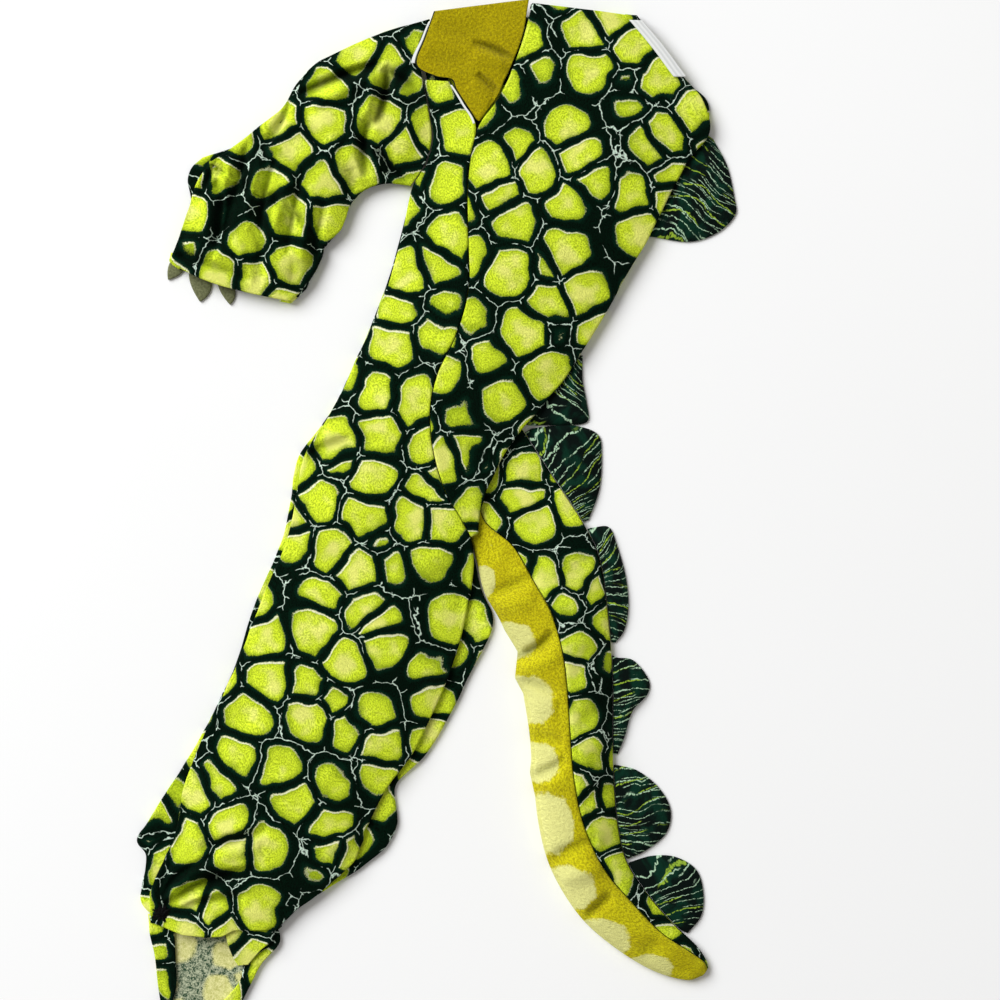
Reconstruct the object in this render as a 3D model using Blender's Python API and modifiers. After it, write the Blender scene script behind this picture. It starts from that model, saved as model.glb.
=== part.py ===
"""A child's dinosaur costume of printed plush, folded in half along its centre front and centre back and laid on its side.

Places are read on a cutting board one metre square: millimetres right of its left edge and millimetres down from its
top edge. The part stands on the board's surface, z = 0, with its origin under the middle of its bounding box.
"""

import math
from collections import namedtuple

import bpy
import bmesh
import numpy as np

# Driving sizes, in millimetres
BOARD_CENTRE = (437.15, 506.0)
CLOTH = 2.2
SEAM_GAP = 0.7
REST_GAP = 0.3
FAR_EDGE = 6.0
ROLL = 3.0
ROLL_STEPS = 3
FOLD_TUCK = 8.0
SEAM_TUCK = 1.0
SEAM_TURN = 30.0
DOME_POWER = 2.6
FOLD_FADE = 16.0
CORE_CLEARANCE = 7.5
CORE_INSET = 13.5
EDGE_TOP = FAR_EDGE + REST_GAP + 2 * ROLL
TAIL_WALL = 2.0
TAIL_EDGE = 6.6
TAIL_SEAM_GAP = 1.0
PLATE_THICK = 8.0
PLATE_RIM = 3.0
BODY_PLATE_TUCK = 1.5
CLAW_THICK = 2.4
TAPE_THICK = 1.4
TAIL_FAR_RISE = 1.6
FACING_ROLL_OFF = 1.0
FAR_SHORT = 0.42
FAR_HAND_LAST_ROW, CLAW_ROOT_ROW = 3.84, 3.858
GATHERS, GATHER_HEIGHT = 6, 1.1

# Rows and columns of each piece's mesh
FRONT_ROWS, FRONT_COLUMNS = 37, 9
BACK_ROWS, BACK_COLUMNS = 23, 8
FAR_ROWS, CORE_COLUMNS = 34, 6
SLEEVE_ROWS, SLEEVE_COLUMNS = 14, 20
HAND_ROWS = 7
FAR_SLEEVE_ROWS, FAR_HAND_ROWS = 10, 5
TAIL_ROWS, TAIL_COLUMNS = 29, 4
PLATE_ROWS, PLATE_COLUMNS = 9, 5
FACING_ROWS, FACING_COLUMNS = 10, 6
TAPE_ROWS, FLAT_ROWS, CLAW_ROWS = 6, 7, 5
FLAT_SHARES = (0, 0.12, 0.5, 0.88, 1)

# The garment across, from its front fold (left) to its back seam (right). front and back are the two panels' borders
# on either side of the neck opening and, below it, of the centre seam. far_left and far_right say how far the half
# underneath reaches past the near one, and lift raises the near border over the root of the tail.
Body = namedtuple("Body", "left_x left_y front_x front_y back_x back_y right_x right_y far_left far_right crown lift")
BODY = [
    Body(434, 14, 436, 14, 532, 5, 637, 17, -2, -3, 5, 0),
    Body(421, 45, 424, 46, 523, 40, 662, 47, -3, -3, 8, 0),
    Body(424, 80, 450, 82, 511, 73, 685, 78, -3, -2, 11, 0),
    Body(430, 112, 464, 104, 497, 101, 703, 100, -3, 5, 12, 0),
    Body(433, 140, 476, 127, 478.5, 127, 710, 131, -3, -3, 13, 0),
    Body(426, 165, 470, 160, 470.5, 160, 689, 160, -3, -3.4, 14, 0),
    Body(412, 187, 467, 198, 467.5, 198, 669, 197, -2, -3, 14, 0),
    Body(401, 240, 468, 245, 468.5, 245, 647, 241, 2, -3, 14, 0),
    Body(386, 290, 468, 290, 468.5, 290, 620, 287, 2, -1, 14, 0),
    Body(366, 338, 456, 335, 456.5, 335, 593, 334, 1, -3.5, 14, 0),
    Body(346, 383, 437, 375, 437.5, 375, 568, 374, 1, -6, 14, 0),
    Body(326, 420, 430, 412, 430.5, 412, 541, 408, 1, -34, 13, 1.5),
    Body(304, 456, 433, 452, 433.5, 452, 508, 448, 6, -44, 12, 4.5),
    Body(296, 495, 445, 492, 445.5, 492, 488, 488, 5, -25.5, 12, 4.5),
    Body(287, 538, 461, 520, 461.5, 520, 480, 515, 5, -14, 12, 4.5),
    Body(270, 580, 473, 548, 473.5, 548, 477, 546, 6, -6, 12, 4.5),
    Body(254, 618, 471, 590, 0, 0, 0, 0, 5, 10, 12, 0),
    Body(240, 655, 463, 628, 0, 0, 0, 0, 2, 30, 12, 0),
    Body(226, 688, 450, 672, 0, 0, 0, 0, 1, 22, 12, 0),
    Body(211, 718, 432, 715, 0, 0, 0, 0, 1, 18, 12, 0),
    Body(196, 753, 412, 755, 0, 0, 0, 0, 5, 14, 12, 0),
    Body(183, 788, 388, 786, 0, 0, 0, 0, 15, 8, 12, 0),
    Body(178, 821, 369, 824, 0, 0, 0, 0, 30, 28, 11, 0),
    Body(172, 842, 361, 846, 0, 0, 0, 0, 36, 25, 11, 0),
    Body(165, 857, 352, 864, 0, 0, 0, 0, 20, 14, 11, 0),
    Body(153, 883, 316, 896, 0, 0, 0, 0, 11, 1, 9, 0),
    Body(149, 903, 296, 911, 0, 0, 0, 0, 9, -3, 8, 0),
    Body(151, 921, 277, 929, 0, 0, 0, 0, -4, -4, 6, 0),
]
FRONT_FIRST_ROW = 2.0
BACK_LAST_ROW = 15.0
LAST_ROW = len(BODY) - 1

# How far each border is turned under: 1 is a fold, 0 a seam, given at the rows named
Turned = namedtuple("Turned", "row front_left front_right back_left back_right")
TURNED = [
    Turned(0, 0, 0, 0.1, 1),
    Turned(5.4, 0, 0, 0, 1),
    Turned(6.2, 1, 0, 0, 1),
    Turned(14.8, 1, 0, 0, 1),
    Turned(15.6, 1, 1, 0, 1),
    Turned(27, 1, 1, 0, 1),
]

# The near sleeve, from the armhole to the elastic at the wrist
Sleeve = namedtuple("Sleeve", "top_x top_y low_x low_y far_top far_low crown")
SLEEVE = [
    Sleeve(429, 19, 411, 186, -4, -2, 4),
    Sleeve(400, 27, 392, 184, -2, -2, 9),
    Sleeve(370, 37, 374, 186, -2, -3, 12),
    Sleeve(342, 50, 360, 194, -2, -2, 13),
    Sleeve(316, 64, 351, 204, -2, -2, 13),
    Sleeve(297, 83, 346, 217, -2, -2, 13),
    Sleeve(283, 106, 341, 229, -1, -2, 12),
    Sleeve(258, 127, 334, 237, -1, -2, 11),
    Sleeve(232, 147, 329, 242, 0, -2, 8),
    Sleeve(208, 161, 325, 246, 8, -2, 3),
]
ARMHOLE = [(429, 19), (418, 50), (422.5, 80), (428.5, 112), (431.5, 140), (424.5, 165), (411, 186)]

# The hand cover below the elastic, open at its hem
HAND = [
    Sleeve(206.8, 163, 324, 247.6, 12, -2, 3),
    Sleeve(196, 183, 322, 257, 10, -3, 8),
    Sleeve(188, 209, 315, 272, -3, -2, 10),
    Sleeve(179, 236, 305, 287, -3, 1, 9),
    Sleeve(171, 258, 291, 300, -8, 3, 5),
]
HAND_HEM_BOW = 8.0

# The tail: the belly panel from its fold (left) to the seam, and the printed sides from the seam to the back (right)
Tail = namedtuple("Tail", "left_x left_y seam_x seam_y right_x right_y height")
TAIL = [
    Tail(463, 492, 478, 474, 516, 419, 8.8),
    Tail(468, 527, 483, 518, 546, 466, 9.0),
    Tail(477, 563, 513, 546, 584, 524, 13.5),
    Tail(484, 592, 533, 580, 600, 560, 21.0),
    Tail(499, 620, 551, 612, 607, 603, 25.0),
    Tail(513, 655, 562, 650, 611, 643, 28.0),
    Tail(520, 690, 567, 688, 613, 685, 30.0),
    Tail(529, 735, 570, 735, 613, 735, 30.0),
    Tail(533, 780, 574, 780, 614, 778, 30.0),
    Tail(539, 828, 584, 825, 618, 826, 29.0),
    Tail(552, 872, 604, 868, 627, 862, 28.0),
    Tail(579, 916, 632, 902, 648, 895, 25.0),
    Tail(613, 947, 661, 932, 674, 925, 21.0),
    Tail(652, 971, 689, 951, 696, 946, 16.0),
    Tail(686, 981, 704, 962, 706, 960, 11.0),
    Tail(703, 977, 708, 970, 709, 969, 8.0),
]
TAIL_ROLL = 5.0

# The plates along the back: the seam each is sewn into, the rows it runs between there, and its rim
Plate = namedtuple("Plate", "seam first_row last_row rim")
PLATES = {
    "plate_1": Plate("body", 4.08, 6.88, [(714, 138), (728, 165), (735, 196), (736, 214), (718, 232), (690, 241), (652, 236)]),
    "plate_2": Plate("body", 9.5, 11.42, [(583, 355), (583, 380), (587, 402), (588, 421), (570, 424.5), (548, 424.5), (532, 425)]),
    "plate_3": Plate("tail", 0.3, 1.96, [(531, 429), (552, 426), (577, 426), (598, 434), (602, 452), (600, 488), (589, 520)]),
    "plate_4": Plate("tail", 2.12, 5.0, [(591, 528), (609, 527), (617, 544), (626, 576), (629, 606), (625, 630), (616, 643)]),
    "plate_5": Plate("tail", 5.32, 7.46, [(617, 658), (634, 661), (649, 680), (648, 695), (633, 712), (625, 738), (618, 755)]),
    "plate_6": Plate("tail", 7.72, 9.93, [(618, 766), (637, 771), (658, 787), (671, 810), (667, 834), (646, 852), (628, 860)]),
    "plate_7": Plate("tail", 10.08, 12.3, [(631, 863), (652, 857), (676, 858), (697, 871), (704, 894), (702, 917), (688.5, 934.5)]),
}

# The yellow facing turned out at the neck, from its outer border (left) to the near back panel's neck edge (right)
Facing = namedtuple("Facing", "left_x left_y right_x right_y top")
FACING = [
    Facing(434, 12, 529, 0, 18.0),
    Facing(425, 38, 523, 34, 20.0),
    Facing(416, 65, 514, 60, 21.0),
    Facing(434, 76.5, 508, 74, 20.5),
    Facing(452, 80, 504, 82, 20.0),
    Facing(457.5, 90, 497, 98, 18.8),
    Facing(468.5, 107, 487.5, 111, 17.6),
    Facing(477, 120, 480, 120.6, 16.8),
]

# Strips of hook-and-loop tape sewn flat on a border: the border's rows, how far in each side lies, and its columns
Tape = namedtuple("Tape", "border first_row last_row outer inner")
TAPES = {
    "front_tape_lower": Tape("front_right", 2.15, 3.9, 0.6, 5.0),
    "back_neck_tape": Tape("back_right", 0.25, 1.95, 0.8, 9.5),
}
FACING_TAPE_WIDTH, FACING_TAPE_LAST_ROW = 4.6, 1.95

# Small flat pieces, each from one border to the other: near and far ends of its rows, and its top at each side
Flat = namedtuple("Flat", "left_x left_y right_x right_y left_top right_top")
FLATS = {
    "foot_back": [
        Flat(149, 914.8, 279, 923, 2.6, 2.6),
        Flat(150, 935, 276, 941, 2.6, 2.6),
        Flat(154, 962, 262, 964, 2.6, 2.6),
        Flat(157, 988, 247, 988, 2.6, 2.6),
        Flat(162, 1011, 236, 1011, 2.6, 2.6),
    ],
    "foot_near_left": [
        Flat(147, 914.8, 170, 916.5, 5.4, 5.8),
        Flat(148, 925, 173, 927, 5.8, 5.9),
        Flat(149, 936, 174, 938, 6.4, 7.6),
        Flat(154, 958, 175, 960, 6.4, 7.4),
        Flat(157, 986, 175.5, 987, 6.2, 7.0),
        Flat(161, 1012, 169, 1012, 5.8, 6.2),
    ],
    "foot_near_right": [
        Flat(246, 926, 277, 926, 6.6, 6.4),
        Flat(250, 944, 279, 944, 7.4, 6.6),
        Flat(243, 966, 261, 965, 7.4, 6.6),
        Flat(238, 984, 251, 984, 7.0, 6.4),
        Flat(216, 1009, 237, 1012, 6.0, 5.8),
    ],
    "ankle_flap": [
        Flat(224, 926.2, 275, 929.4, 13.6, 12.5),
        Flat(227, 942, 272, 941, 13.4, 12.5),
        Flat(233, 958, 260, 951, 12.2, 11.8),
        Flat(238, 966, 248, 965, 10.8, 10.8),
    ],
}
FLAT_BASES = {
    "foot_back": 0.0,
    "foot_near_left": 2.9,
    "foot_near_right": 2.9,
    "ankle_flap": 7.8,
}

# The claws at the hand cover's hem: the shares of the hem their roots take, and where each tip lies
Claw = namedtuple("Claw", "first_share last_share tip_x tip_y")
CLAWS = {
    "claw_1": Claw(0.01, 0.125, 167, 279),
    "claw_2": Claw(0.15, 0.335, 199, 301),
    "claw_3": Claw(0.385, 0.52, 229, 304),
}

# Folds of the cloth: a soft trough (negative) or ridge (positive) along a line, half as deep at its width
Fold = namedtuple("Fold", "start_x start_y end_x end_y width height")
BODY_FOLDS = [
    Fold(160, 912, 245, 838, 9, -4.0),
    Fold(160, 914, 225, 862, 8, 3.0),
    Fold(165, 915, 240, 885, 8, -3.4),
    Fold(176, 850, 186, 800, 7, -3.0),
    Fold(352, 858, 330, 790, 10, 2.4),
    Fold(300, 455, 345, 438, 11, -2.4),
    Fold(470, 545, 420, 600, 12, -2.2),
    Fold(455, 660, 380, 640, 14, -1.8),
    Fold(405, 250, 440, 215, 10, -2.2),
]
SLEEVE_FOLDS = [
    Fold(430, 82, 385, 60, 9, -4.6),
    Fold(385, 60, 305, 78, 10, -4.8),
    Fold(350, 84, 366, 104, 7, 3.0),
    Fold(366, 88, 372, 128, 7, -3.6),
    Fold(290, 110, 262, 150, 9, -2.6),
    Fold(366, 168, 372, 130, 9, -2.4),
]

COLOURS = {
    "scale_plush": ((0.36, 0.47, 0.04), 0.9),
    "belly_fleece": ((0.62, 0.55, 0.03), 0.9),
    "plate_plush": ((0.02, 0.07, 0.045), 0.9),
    "claw_felt": ((0.20, 0.21, 0.08), 0.85),
    "tape_white": ((0.85, 0.86, 0.85), 0.8),
    "wrong_side": ((0.48, 0.52, 0.26), 0.9),
}


def board(x, y, z):
    """A place on the cutting board, in millimetres, as a point of the part, in metres."""
    return ((x - BOARD_CENTRE[0]) / 1000, (BOARD_CENTRE[1] - y) / 1000, z / 1000)


def mix(a, b, share):
    return a + (b - a) * share


def smooth(table, at):
    """Values of a table's columns at fractional rows, on a smooth curve through its rows."""
    rows = np.array(table, float)
    padded = np.vstack([2 * rows[0] - rows[1], rows, 2 * rows[-1] - rows[-2]])
    at = np.atleast_1d(np.asarray(at, float))
    low = np.clip(np.floor(at).astype(int), 0, len(rows) - 2)
    f = (at - low)[:, None]
    p0, p1, p2, p3 = (padded[low + k] for k in range(4))
    return p1 + 0.5 * f * (p2 - p0 + f * (2 * p0 - 5 * p1 + 4 * p2 - p3 + f * (3 * (p1 - p2) + p3 - p0)))


def fold_height(x, y, folds):
    """Height that the folds add at a place."""
    heights = [0.0]
    for fold in folds:
        start = np.array([fold.start_x, fold.start_y], float)
        run = np.array([fold.end_x, fold.end_y], float) - start
        held = min(max(float(np.dot([x, y] - start, run) / np.dot(run, run)), 0.0), 1.0)
        off = math.dist((x, y), start + run * held)
        heights.append(fold.height * math.exp(-((off / fold.width) ** 2)))
    return min(heights) + max(heights)


def inside(s, width):
    """1 well inside a section, falling to 0 at its borders, which stay unfolded."""
    return min(max(min(s, width - s) / FOLD_FADE, 0.0), 1.0)


def dome(share):
    return 1 - abs(2 * min(max(share, 0.0), 1.0) - 1) ** DOME_POWER


def rim(turned):
    """(distance in from the border, drop) down a panel's rolled border, from its hidden end up to its top."""
    turn = math.radians(mix(SEAM_TURN, 180, turned))
    tuck = mix(SEAM_TUCK, FOLD_TUCK, turned)
    arc = [turn * k / ROLL_STEPS for k in range(ROLL_STEPS, -1, -1)]
    places = [(-ROLL * math.sin(a), ROLL * (math.cos(a) - 1)) for a in arc]
    places.insert(0, (places[0][0] - math.cos(turn) * tuck, places[0][1] - math.sin(turn) * tuck))
    outermost = min(place[0] for place in places)
    return [(s - outermost, max(drop, -2 * ROLL)) for s, drop in places]


def panel_row(place, width, turned, height, columns):
    """One section of a cloth panel, rolled under at both borders. place(s) is the spot s millimetres along it."""
    near_rim, far_rim = rim(turned[0]), rim(turned[1])
    first, last = near_rim[-1][0], width - far_rim[-1][0]
    row = [(s, first, drop) for s, drop in near_rim[:-1]]
    row += [(s, s, 0.0) for s in np.linspace(first, last, columns)]
    row += [(width - s, last, drop) for s, drop in reversed(far_rim[:-1])]
    points = []
    for s, seat, drop in row:
        x, y = place(s)
        points.append(board(x, y, height(seat, *place(seat)) + drop))
    return points


def new_object(name, mesh, colour):
    part = bpy.data.objects.new(name, mesh)
    costume.objects.link(part)
    mesh.materials.append(materials[colour])
    mesh.shade_smooth()
    mesh.set_sharp_from_angle(angle=math.radians(50))
    return part


def sheet_mesh(name, rows):
    """An open sheet through rows of points: a grid of the same count with each corner moved to its place."""
    bm = bmesh.new()
    bmesh.ops.create_grid(bm, x_segments=len(rows[0]) - 1, y_segments=len(rows) - 1, size=1.0)
    bm.verts.ensure_lookup_table()
    for vert, place in zip(bm.verts, (point for row in rows for point in row)):
        vert.co = place
    mesh = bpy.data.meshes.new(name)
    bm.to_mesh(mesh)
    bm.free()
    return mesh


def cloth_panel(name, rows, colour, wall=CLOTH):
    """A wall of cloth whose outer side runs through the rows."""
    mesh = sheet_mesh(name, rows)
    mesh.flip_normals()
    part = new_object(name, mesh, colour)
    solidify = part.modifiers.new("wall", "SOLIDIFY")
    solidify.thickness = wall / 1000
    solidify.offset = -1
    return part


def layered_solid(name, tops, bottoms, colour):
    """A closed solid between two sheets with the same rows and columns, joined round their rims."""
    rows, columns = len(tops), len(tops[0])
    bm = bmesh.new()
    upper = [[bm.verts.new(point) for point in row] for row in tops]
    lower = [[bm.verts.new(point) for point in row] for row in bottoms]
    for i in range(rows - 1):
        for j in range(columns - 1):
            bm.faces.new((upper[i][j], upper[i + 1][j], upper[i + 1][j + 1], upper[i][j + 1]))
            bm.faces.new((lower[i][j], lower[i][j + 1], lower[i + 1][j + 1], lower[i + 1][j]))
    for j in range(columns - 1):
        bm.faces.new((upper[0][j], upper[0][j + 1], lower[0][j + 1], lower[0][j]))
        bm.faces.new((upper[-1][j], lower[-1][j], lower[-1][j + 1], upper[-1][j + 1]))
    for i in range(rows - 1):
        bm.faces.new((upper[i][0], lower[i][0], lower[i + 1][0], upper[i + 1][0]))
        bm.faces.new((upper[i][-1], upper[i + 1][-1], lower[i + 1][-1], lower[i][-1]))
    mesh = bpy.data.meshes.new(name)
    bm.to_mesh(mesh)
    bm.free()
    return new_object(name, mesh, colour)


def along(start, end):
    """The function from a distance along the line start to end to its place, and the line's length."""
    start, end = np.array(start, float), np.array(end, float)
    length = math.dist(start, end)
    step = (end - start) / length
    return lambda s: start + step * s, length


def body_section(row):
    """The body's section at a fractional row, and how much its borders are turned there."""
    section = Body(*smooth(BODY_ROWS, row)[0])
    index = [entry.row for entry in TURNED]
    turned = Turned(row, *(np.interp(row, index, [entry[k] for entry in TURNED]) for k in range(1, 5)))
    return section, turned


def body_height(section, start, length, folded=True):
    """The near side's height as a function of a place on the section that runs from start for length."""

    def height(_, x, y):
        share = math.dist(start, (x, y)) / length
        total = EDGE_TOP + section.crown * dome(share) + section.lift * min(max(share, 0.0), 1.0) ** 3
        return total + (fold_height(x, y, BODY_FOLDS) * inside(share * length, length) if folded else 0.0)

    return height


def body_ends(section):
    left = (section.left_x, section.left_y)
    right = (section.right_x, section.right_y)
    return left, right, math.dist(left, right)


def front_panel():
    """The near front panel and leg in one piece, from the shoulder to the hem at the ankle."""
    rows = []
    for row in np.linspace(FRONT_FIRST_ROW, LAST_ROW, FRONT_ROWS):
        section, turned = body_section(row)
        left, _, length = body_ends(section)
        place, width = along(left, (section.front_x, section.front_y))
        height = body_height(section, left, length)
        rows.append(panel_row(place, width, (turned.front_left, turned.front_right), height, FRONT_COLUMNS))
    return cloth_panel("near_front_leg_panel", rows, "scale_plush")


def back_panel():
    """The near back panel, from the neck to its point at the tail."""
    rows = []
    for row in np.linspace(0, BACK_LAST_ROW - 0.35, BACK_ROWS):
        section, turned = body_section(row)
        left, right, length = body_ends(section)
        seam_gap = SEAM_GAP if row > FRONT_FIRST_ROW else 0.0
        place, width = along((section.back_x + seam_gap, section.back_y), right)
        height = body_height(section, left, length)
        rows.append(panel_row(place, width, (turned.back_left, turned.back_right), height, BACK_COLUMNS))
    return cloth_panel("near_back_panel", rows, "scale_plush")


def layered_rows(place, width, far_start, far_end, height):
    """A section of the layers underneath: a rounded slab as thick as the far half's edge, and the pile inside it."""
    start, end = -far_start, width + far_end
    core_start, core_end = max(CORE_INSET, start + 6), min(width - CORE_INSET, end - 6)
    lip = [(0.0, 0.6, 0.4), (1.0, 0.87, 0.13), (FAR_EDGE / 2, 1.0, 0.0)]
    columns = [(start + s, upper, lower) for s, upper, lower in lip]
    columns += [(core_start - 1.0, 1.0, 0.0)]
    columns += [(s, None, 0.0) for s in np.linspace(core_start, core_end, CORE_COLUMNS)]
    columns += [(core_end + 1.0, 1.0, 0.0)]
    columns += [(end - s, upper, lower) for s, upper, lower in reversed(lip)]
    top, bottom = [], []
    for s, upper, lower in columns:
        x, y = place(s)
        high = FAR_EDGE * upper if upper is not None else max(height(s, x, y) - CORE_CLEARANCE, FAR_EDGE)
        top.append(board(x, y, high))
        bottom.append(board(x, y, FAR_EDGE * lower))
    return top, bottom


def facing_top(y):
    """Height of the neck facing at a place down the board."""
    rows = [((section.left_y + section.right_y) / 2, section.top) for section in FACING]
    return float(np.interp(y, [row[0] for row in rows], [row[1] for row in rows]))


def far_body():
    """The far half of the body and the far leg, which lie hidden under the near side and show at its borders."""
    tops, bottoms = [], []
    for row in np.linspace(0, LAST_ROW - FAR_SHORT, FAR_ROWS):
        section, _ = body_section(row)
        left, right, length = body_ends(section)
        place, width = along(left, right)
        height = body_height(section, left, length, folded=False)

        def pile(s, x, y):
            under_facing = facing_top(y) - CLOTH - 1.5 + CORE_CLEARANCE if y < 128 and x < 540 else 99.0
            return min(height(s, x, y), under_facing)

        top, bottom = layered_rows(place, width, section.far_left, section.far_right, pile)
        tops.append(top)
        bottoms.append(bottom)
    return layered_solid("far_body_and_leg", tops, bottoms, "scale_plush")


def sleeve_place(table, row, bend):
    """Places across the sleeve at a fractional row. bend carries the armhole's curve into the rows beside it."""
    section = Sleeve(*smooth(table, row)[0])
    place, width = along((section.top_x, section.top_y), (section.low_x, section.low_y))

    def curved(s):
        return place(s) + bend(s / width, row)

    return section, curved, width


def armhole_bend(share, row):
    """How far the armhole's curve lies from its straight line, fading away along the sleeve."""
    share = min(max(share, 0.0), 1.0)
    curve = smooth(ARMHOLE, share * (len(ARMHOLE) - 1))[0]
    straight = mix(np.array(ARMHOLE[0], float), np.array(ARMHOLE[-1], float), share)
    return (curve - straight) * max(0.0, 1 - row / 2.6) ** 2


def hem_bend(share, row):
    """The hand cover's hem bows outwards, most of all near the claws."""
    depth = HAND_HEM_BOW * (row / (len(HAND) - 1)) ** 3
    share = min(max(share, 0.0), 1.0)
    lean = math.sin(math.pi * share ** 0.7)
    return np.array([-0.33, 0.94]) * depth * lean


def gathers(share, strength):
    """Small waves that the wrist elastic draws up across the cloth."""
    return GATHER_HEIGHT * strength * math.sin(2 * math.pi * GATHERS * share + 1.3 * math.sin(9 * share))


def sleeve_height(section, width, strength, folded=True):
    """The near sleeve's height as a function of a place on a section of this width."""

    def height(s, x, y):
        total = EDGE_TOP + section.crown * dome(s / width)
        waves = fold_height(x, y, SLEEVE_FOLDS) + gathers(s / width, strength)
        return total + (waves * inside(s, width) if folded else 0.0)

    return height


def near_sleeve():
    """The near sleeve, one flattened tube from the armhole to the wrist elastic."""
    rows = []
    for row in np.linspace(0, len(SLEEVE) - 1, SLEEVE_ROWS):
        section, place, width = sleeve_place(SLEEVE, row, armhole_bend)
        height = sleeve_height(section, width, max(0.0, row - (len(SLEEVE) - 3)) / 2)
        turned = min(1.0, 0.4 + row)
        rows.append(panel_row(place, width, (turned, turned), height, SLEEVE_COLUMNS))
    return cloth_panel("near_sleeve", rows, "scale_plush")


def near_hand_cover():
    """The cover over the back of the hand, drawn up at the wrist and open at its hem."""
    rows = []
    for row in np.linspace(0, len(HAND) - 1, HAND_ROWS):
        section, place, width = sleeve_place(HAND, row, hem_bend)
        height = sleeve_height(section, width, max(0.0, 1 - row / 2.2))
        rows.append(panel_row(place, width, (1.0, 1.0), height, SLEEVE_COLUMNS))
    return cloth_panel("near_hand_cover", rows, "scale_plush")


def far_sleeve():
    """The far sleeve and its hand cover, hidden under the near ones and showing at their borders."""
    tops, bottoms = [], []
    for row in np.linspace(0.9, len(SLEEVE) - 1, FAR_SLEEVE_ROWS):
        section, place, width = sleeve_place(SLEEVE, row, armhole_bend)
        height = sleeve_height(section, width, 0.0, folded=False)
        top, bottom = layered_rows(place, width, section.far_top, section.far_low, height)
        tops.append(top)
        bottoms.append(bottom)
    for row in np.linspace(0.4, FAR_HAND_LAST_ROW, FAR_HAND_ROWS):
        section, place, width = sleeve_place(HAND, row, hem_bend)
        height = sleeve_height(section, width, 0.0, folded=False)
        top, bottom = layered_rows(place, width, section.far_top, section.far_low, height)
        tops.append(top)
        bottoms.append(bottom)
    return layered_solid("far_sleeve", tops, bottoms, "scale_plush")


def tail_profile(section):
    """The tail's outline in section as (x, y, z) from the belly's seam under the tail, round its fold, to the back."""
    left = np.array([section.left_x, section.left_y])
    seam = np.array([section.seam_x, section.seam_y])
    right = np.array([section.right_x, section.right_y])
    belly, side = math.dist(left, seam), math.dist(seam, right)
    whole = belly + side
    roll = min(TAIL_ROLL, 0.45 * section.height, 0.4 * belly)

    def top(s):
        share = s / whole
        crest = math.sin(math.pi * min(1.0, share ** 0.85)) ** 0.75 if 0 < share < 1 else 0.0
        base = mix(2 * roll, TAIL_EDGE, share)
        return base + max(0.0, section.height - base) * crest

    def spot(s):
        return mix(left, seam, s / belly) if s < belly else mix(seam, right, (s - belly) / side)

    return belly, whole, roll, top, spot


def tail_rows(kind, row):
    """One section of a tail piece: the belly panel, the near side or the far side."""
    section = Tail(*smooth(TAIL, row)[0])
    belly, whole, roll, top, spot = tail_profile(section)
    gap = min(TAIL_SEAM_GAP, 0.1 * belly) / 2
    if kind == "belly":
        under = [(s, 0.0) for s in np.linspace(belly * 0.9 - gap, roll, TAIL_COLUMNS)]
        fold = [(roll - roll * math.sin(a), roll - roll * math.cos(a)) for a in np.linspace(0, math.pi, 6)[1:-1]]
        over = [(s, top(s)) for s in np.linspace(roll, belly - gap, TAIL_COLUMNS)]
        places = under + fold + over
    elif kind == "near":
        inset = min(0.4, 0.1 * (whole - belly))
        places = [(s, top(s)) for s in np.linspace(belly + gap, whole - inset, TAIL_COLUMNS)]
    else:
        ends = np.linspace(belly * 0.9 + gap, whole, TAIL_COLUMNS)
        places = [(s, 0.0) for s in ends[:-1]] + [(ends[-1], TAIL_FAR_RISE)]
    return [board(*spot(s), z) for s, z in places]


def tail_piece(name, kind, colour):
    rows = [tail_rows(kind, row) for row in np.linspace(0, len(TAIL) - 1, TAIL_ROWS)]
    part = cloth_panel(name, rows, colour, TAIL_WALL)
    if kind == "far":
        part.data.flip_normals()
    return part


def seam_place(seam, row):
    """Where a plate's root lies on its seam: just inside the body's near border, or just outside the tail's."""
    if seam == "body":
        section, _ = body_section(row)
        start, end, out = (section.left_x, section.left_y), (section.right_x, section.right_y), -BODY_PLATE_TUCK
    else:
        section = Tail(*smooth(TAIL, row)[0])
        start, end, out = (section.seam_x, section.seam_y), (section.right_x, section.right_y), SEAM_GAP
    place, width = along(start, end)
    return place(width + out)


def plate(name, shape):
    """A stuffed plate of the back, flat underneath, thick in the middle and thin at its rim."""
    share = np.linspace(0, 1, PLATE_ROWS)
    edges = smooth(shape.rim, share * (len(shape.rim) - 1))
    tops, bottoms = [], []
    for v, edge in zip(share, edges):
        root = seam_place(shape.seam, mix(shape.first_row, shape.last_row, v))
        top, bottom = [], []
        for u in np.linspace(0, 1, PLATE_COLUMNS):
            x, y = mix(root, edge, u)
            rise = math.sin(math.pi * (0.12 + 0.88 * u)) ** 0.7 if u < 1 else 0.0
            puff = (4 * v * (1 - v)) ** 0.6 * rise if 0 < v < 1 else 0.0
            lip = 0.8 * u ** 6
            top.append(board(x, y, PLATE_RIM + 0.6 + (PLATE_THICK - PLATE_RIM) * puff - lip))
            bottom.append(board(x, y, lip + 0.6 * (abs(2 * v - 1) ** 8)))
        tops.append(top)
        bottoms.append(bottom)
    return layered_solid(name, tops, bottoms, "plate_plush")


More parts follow.
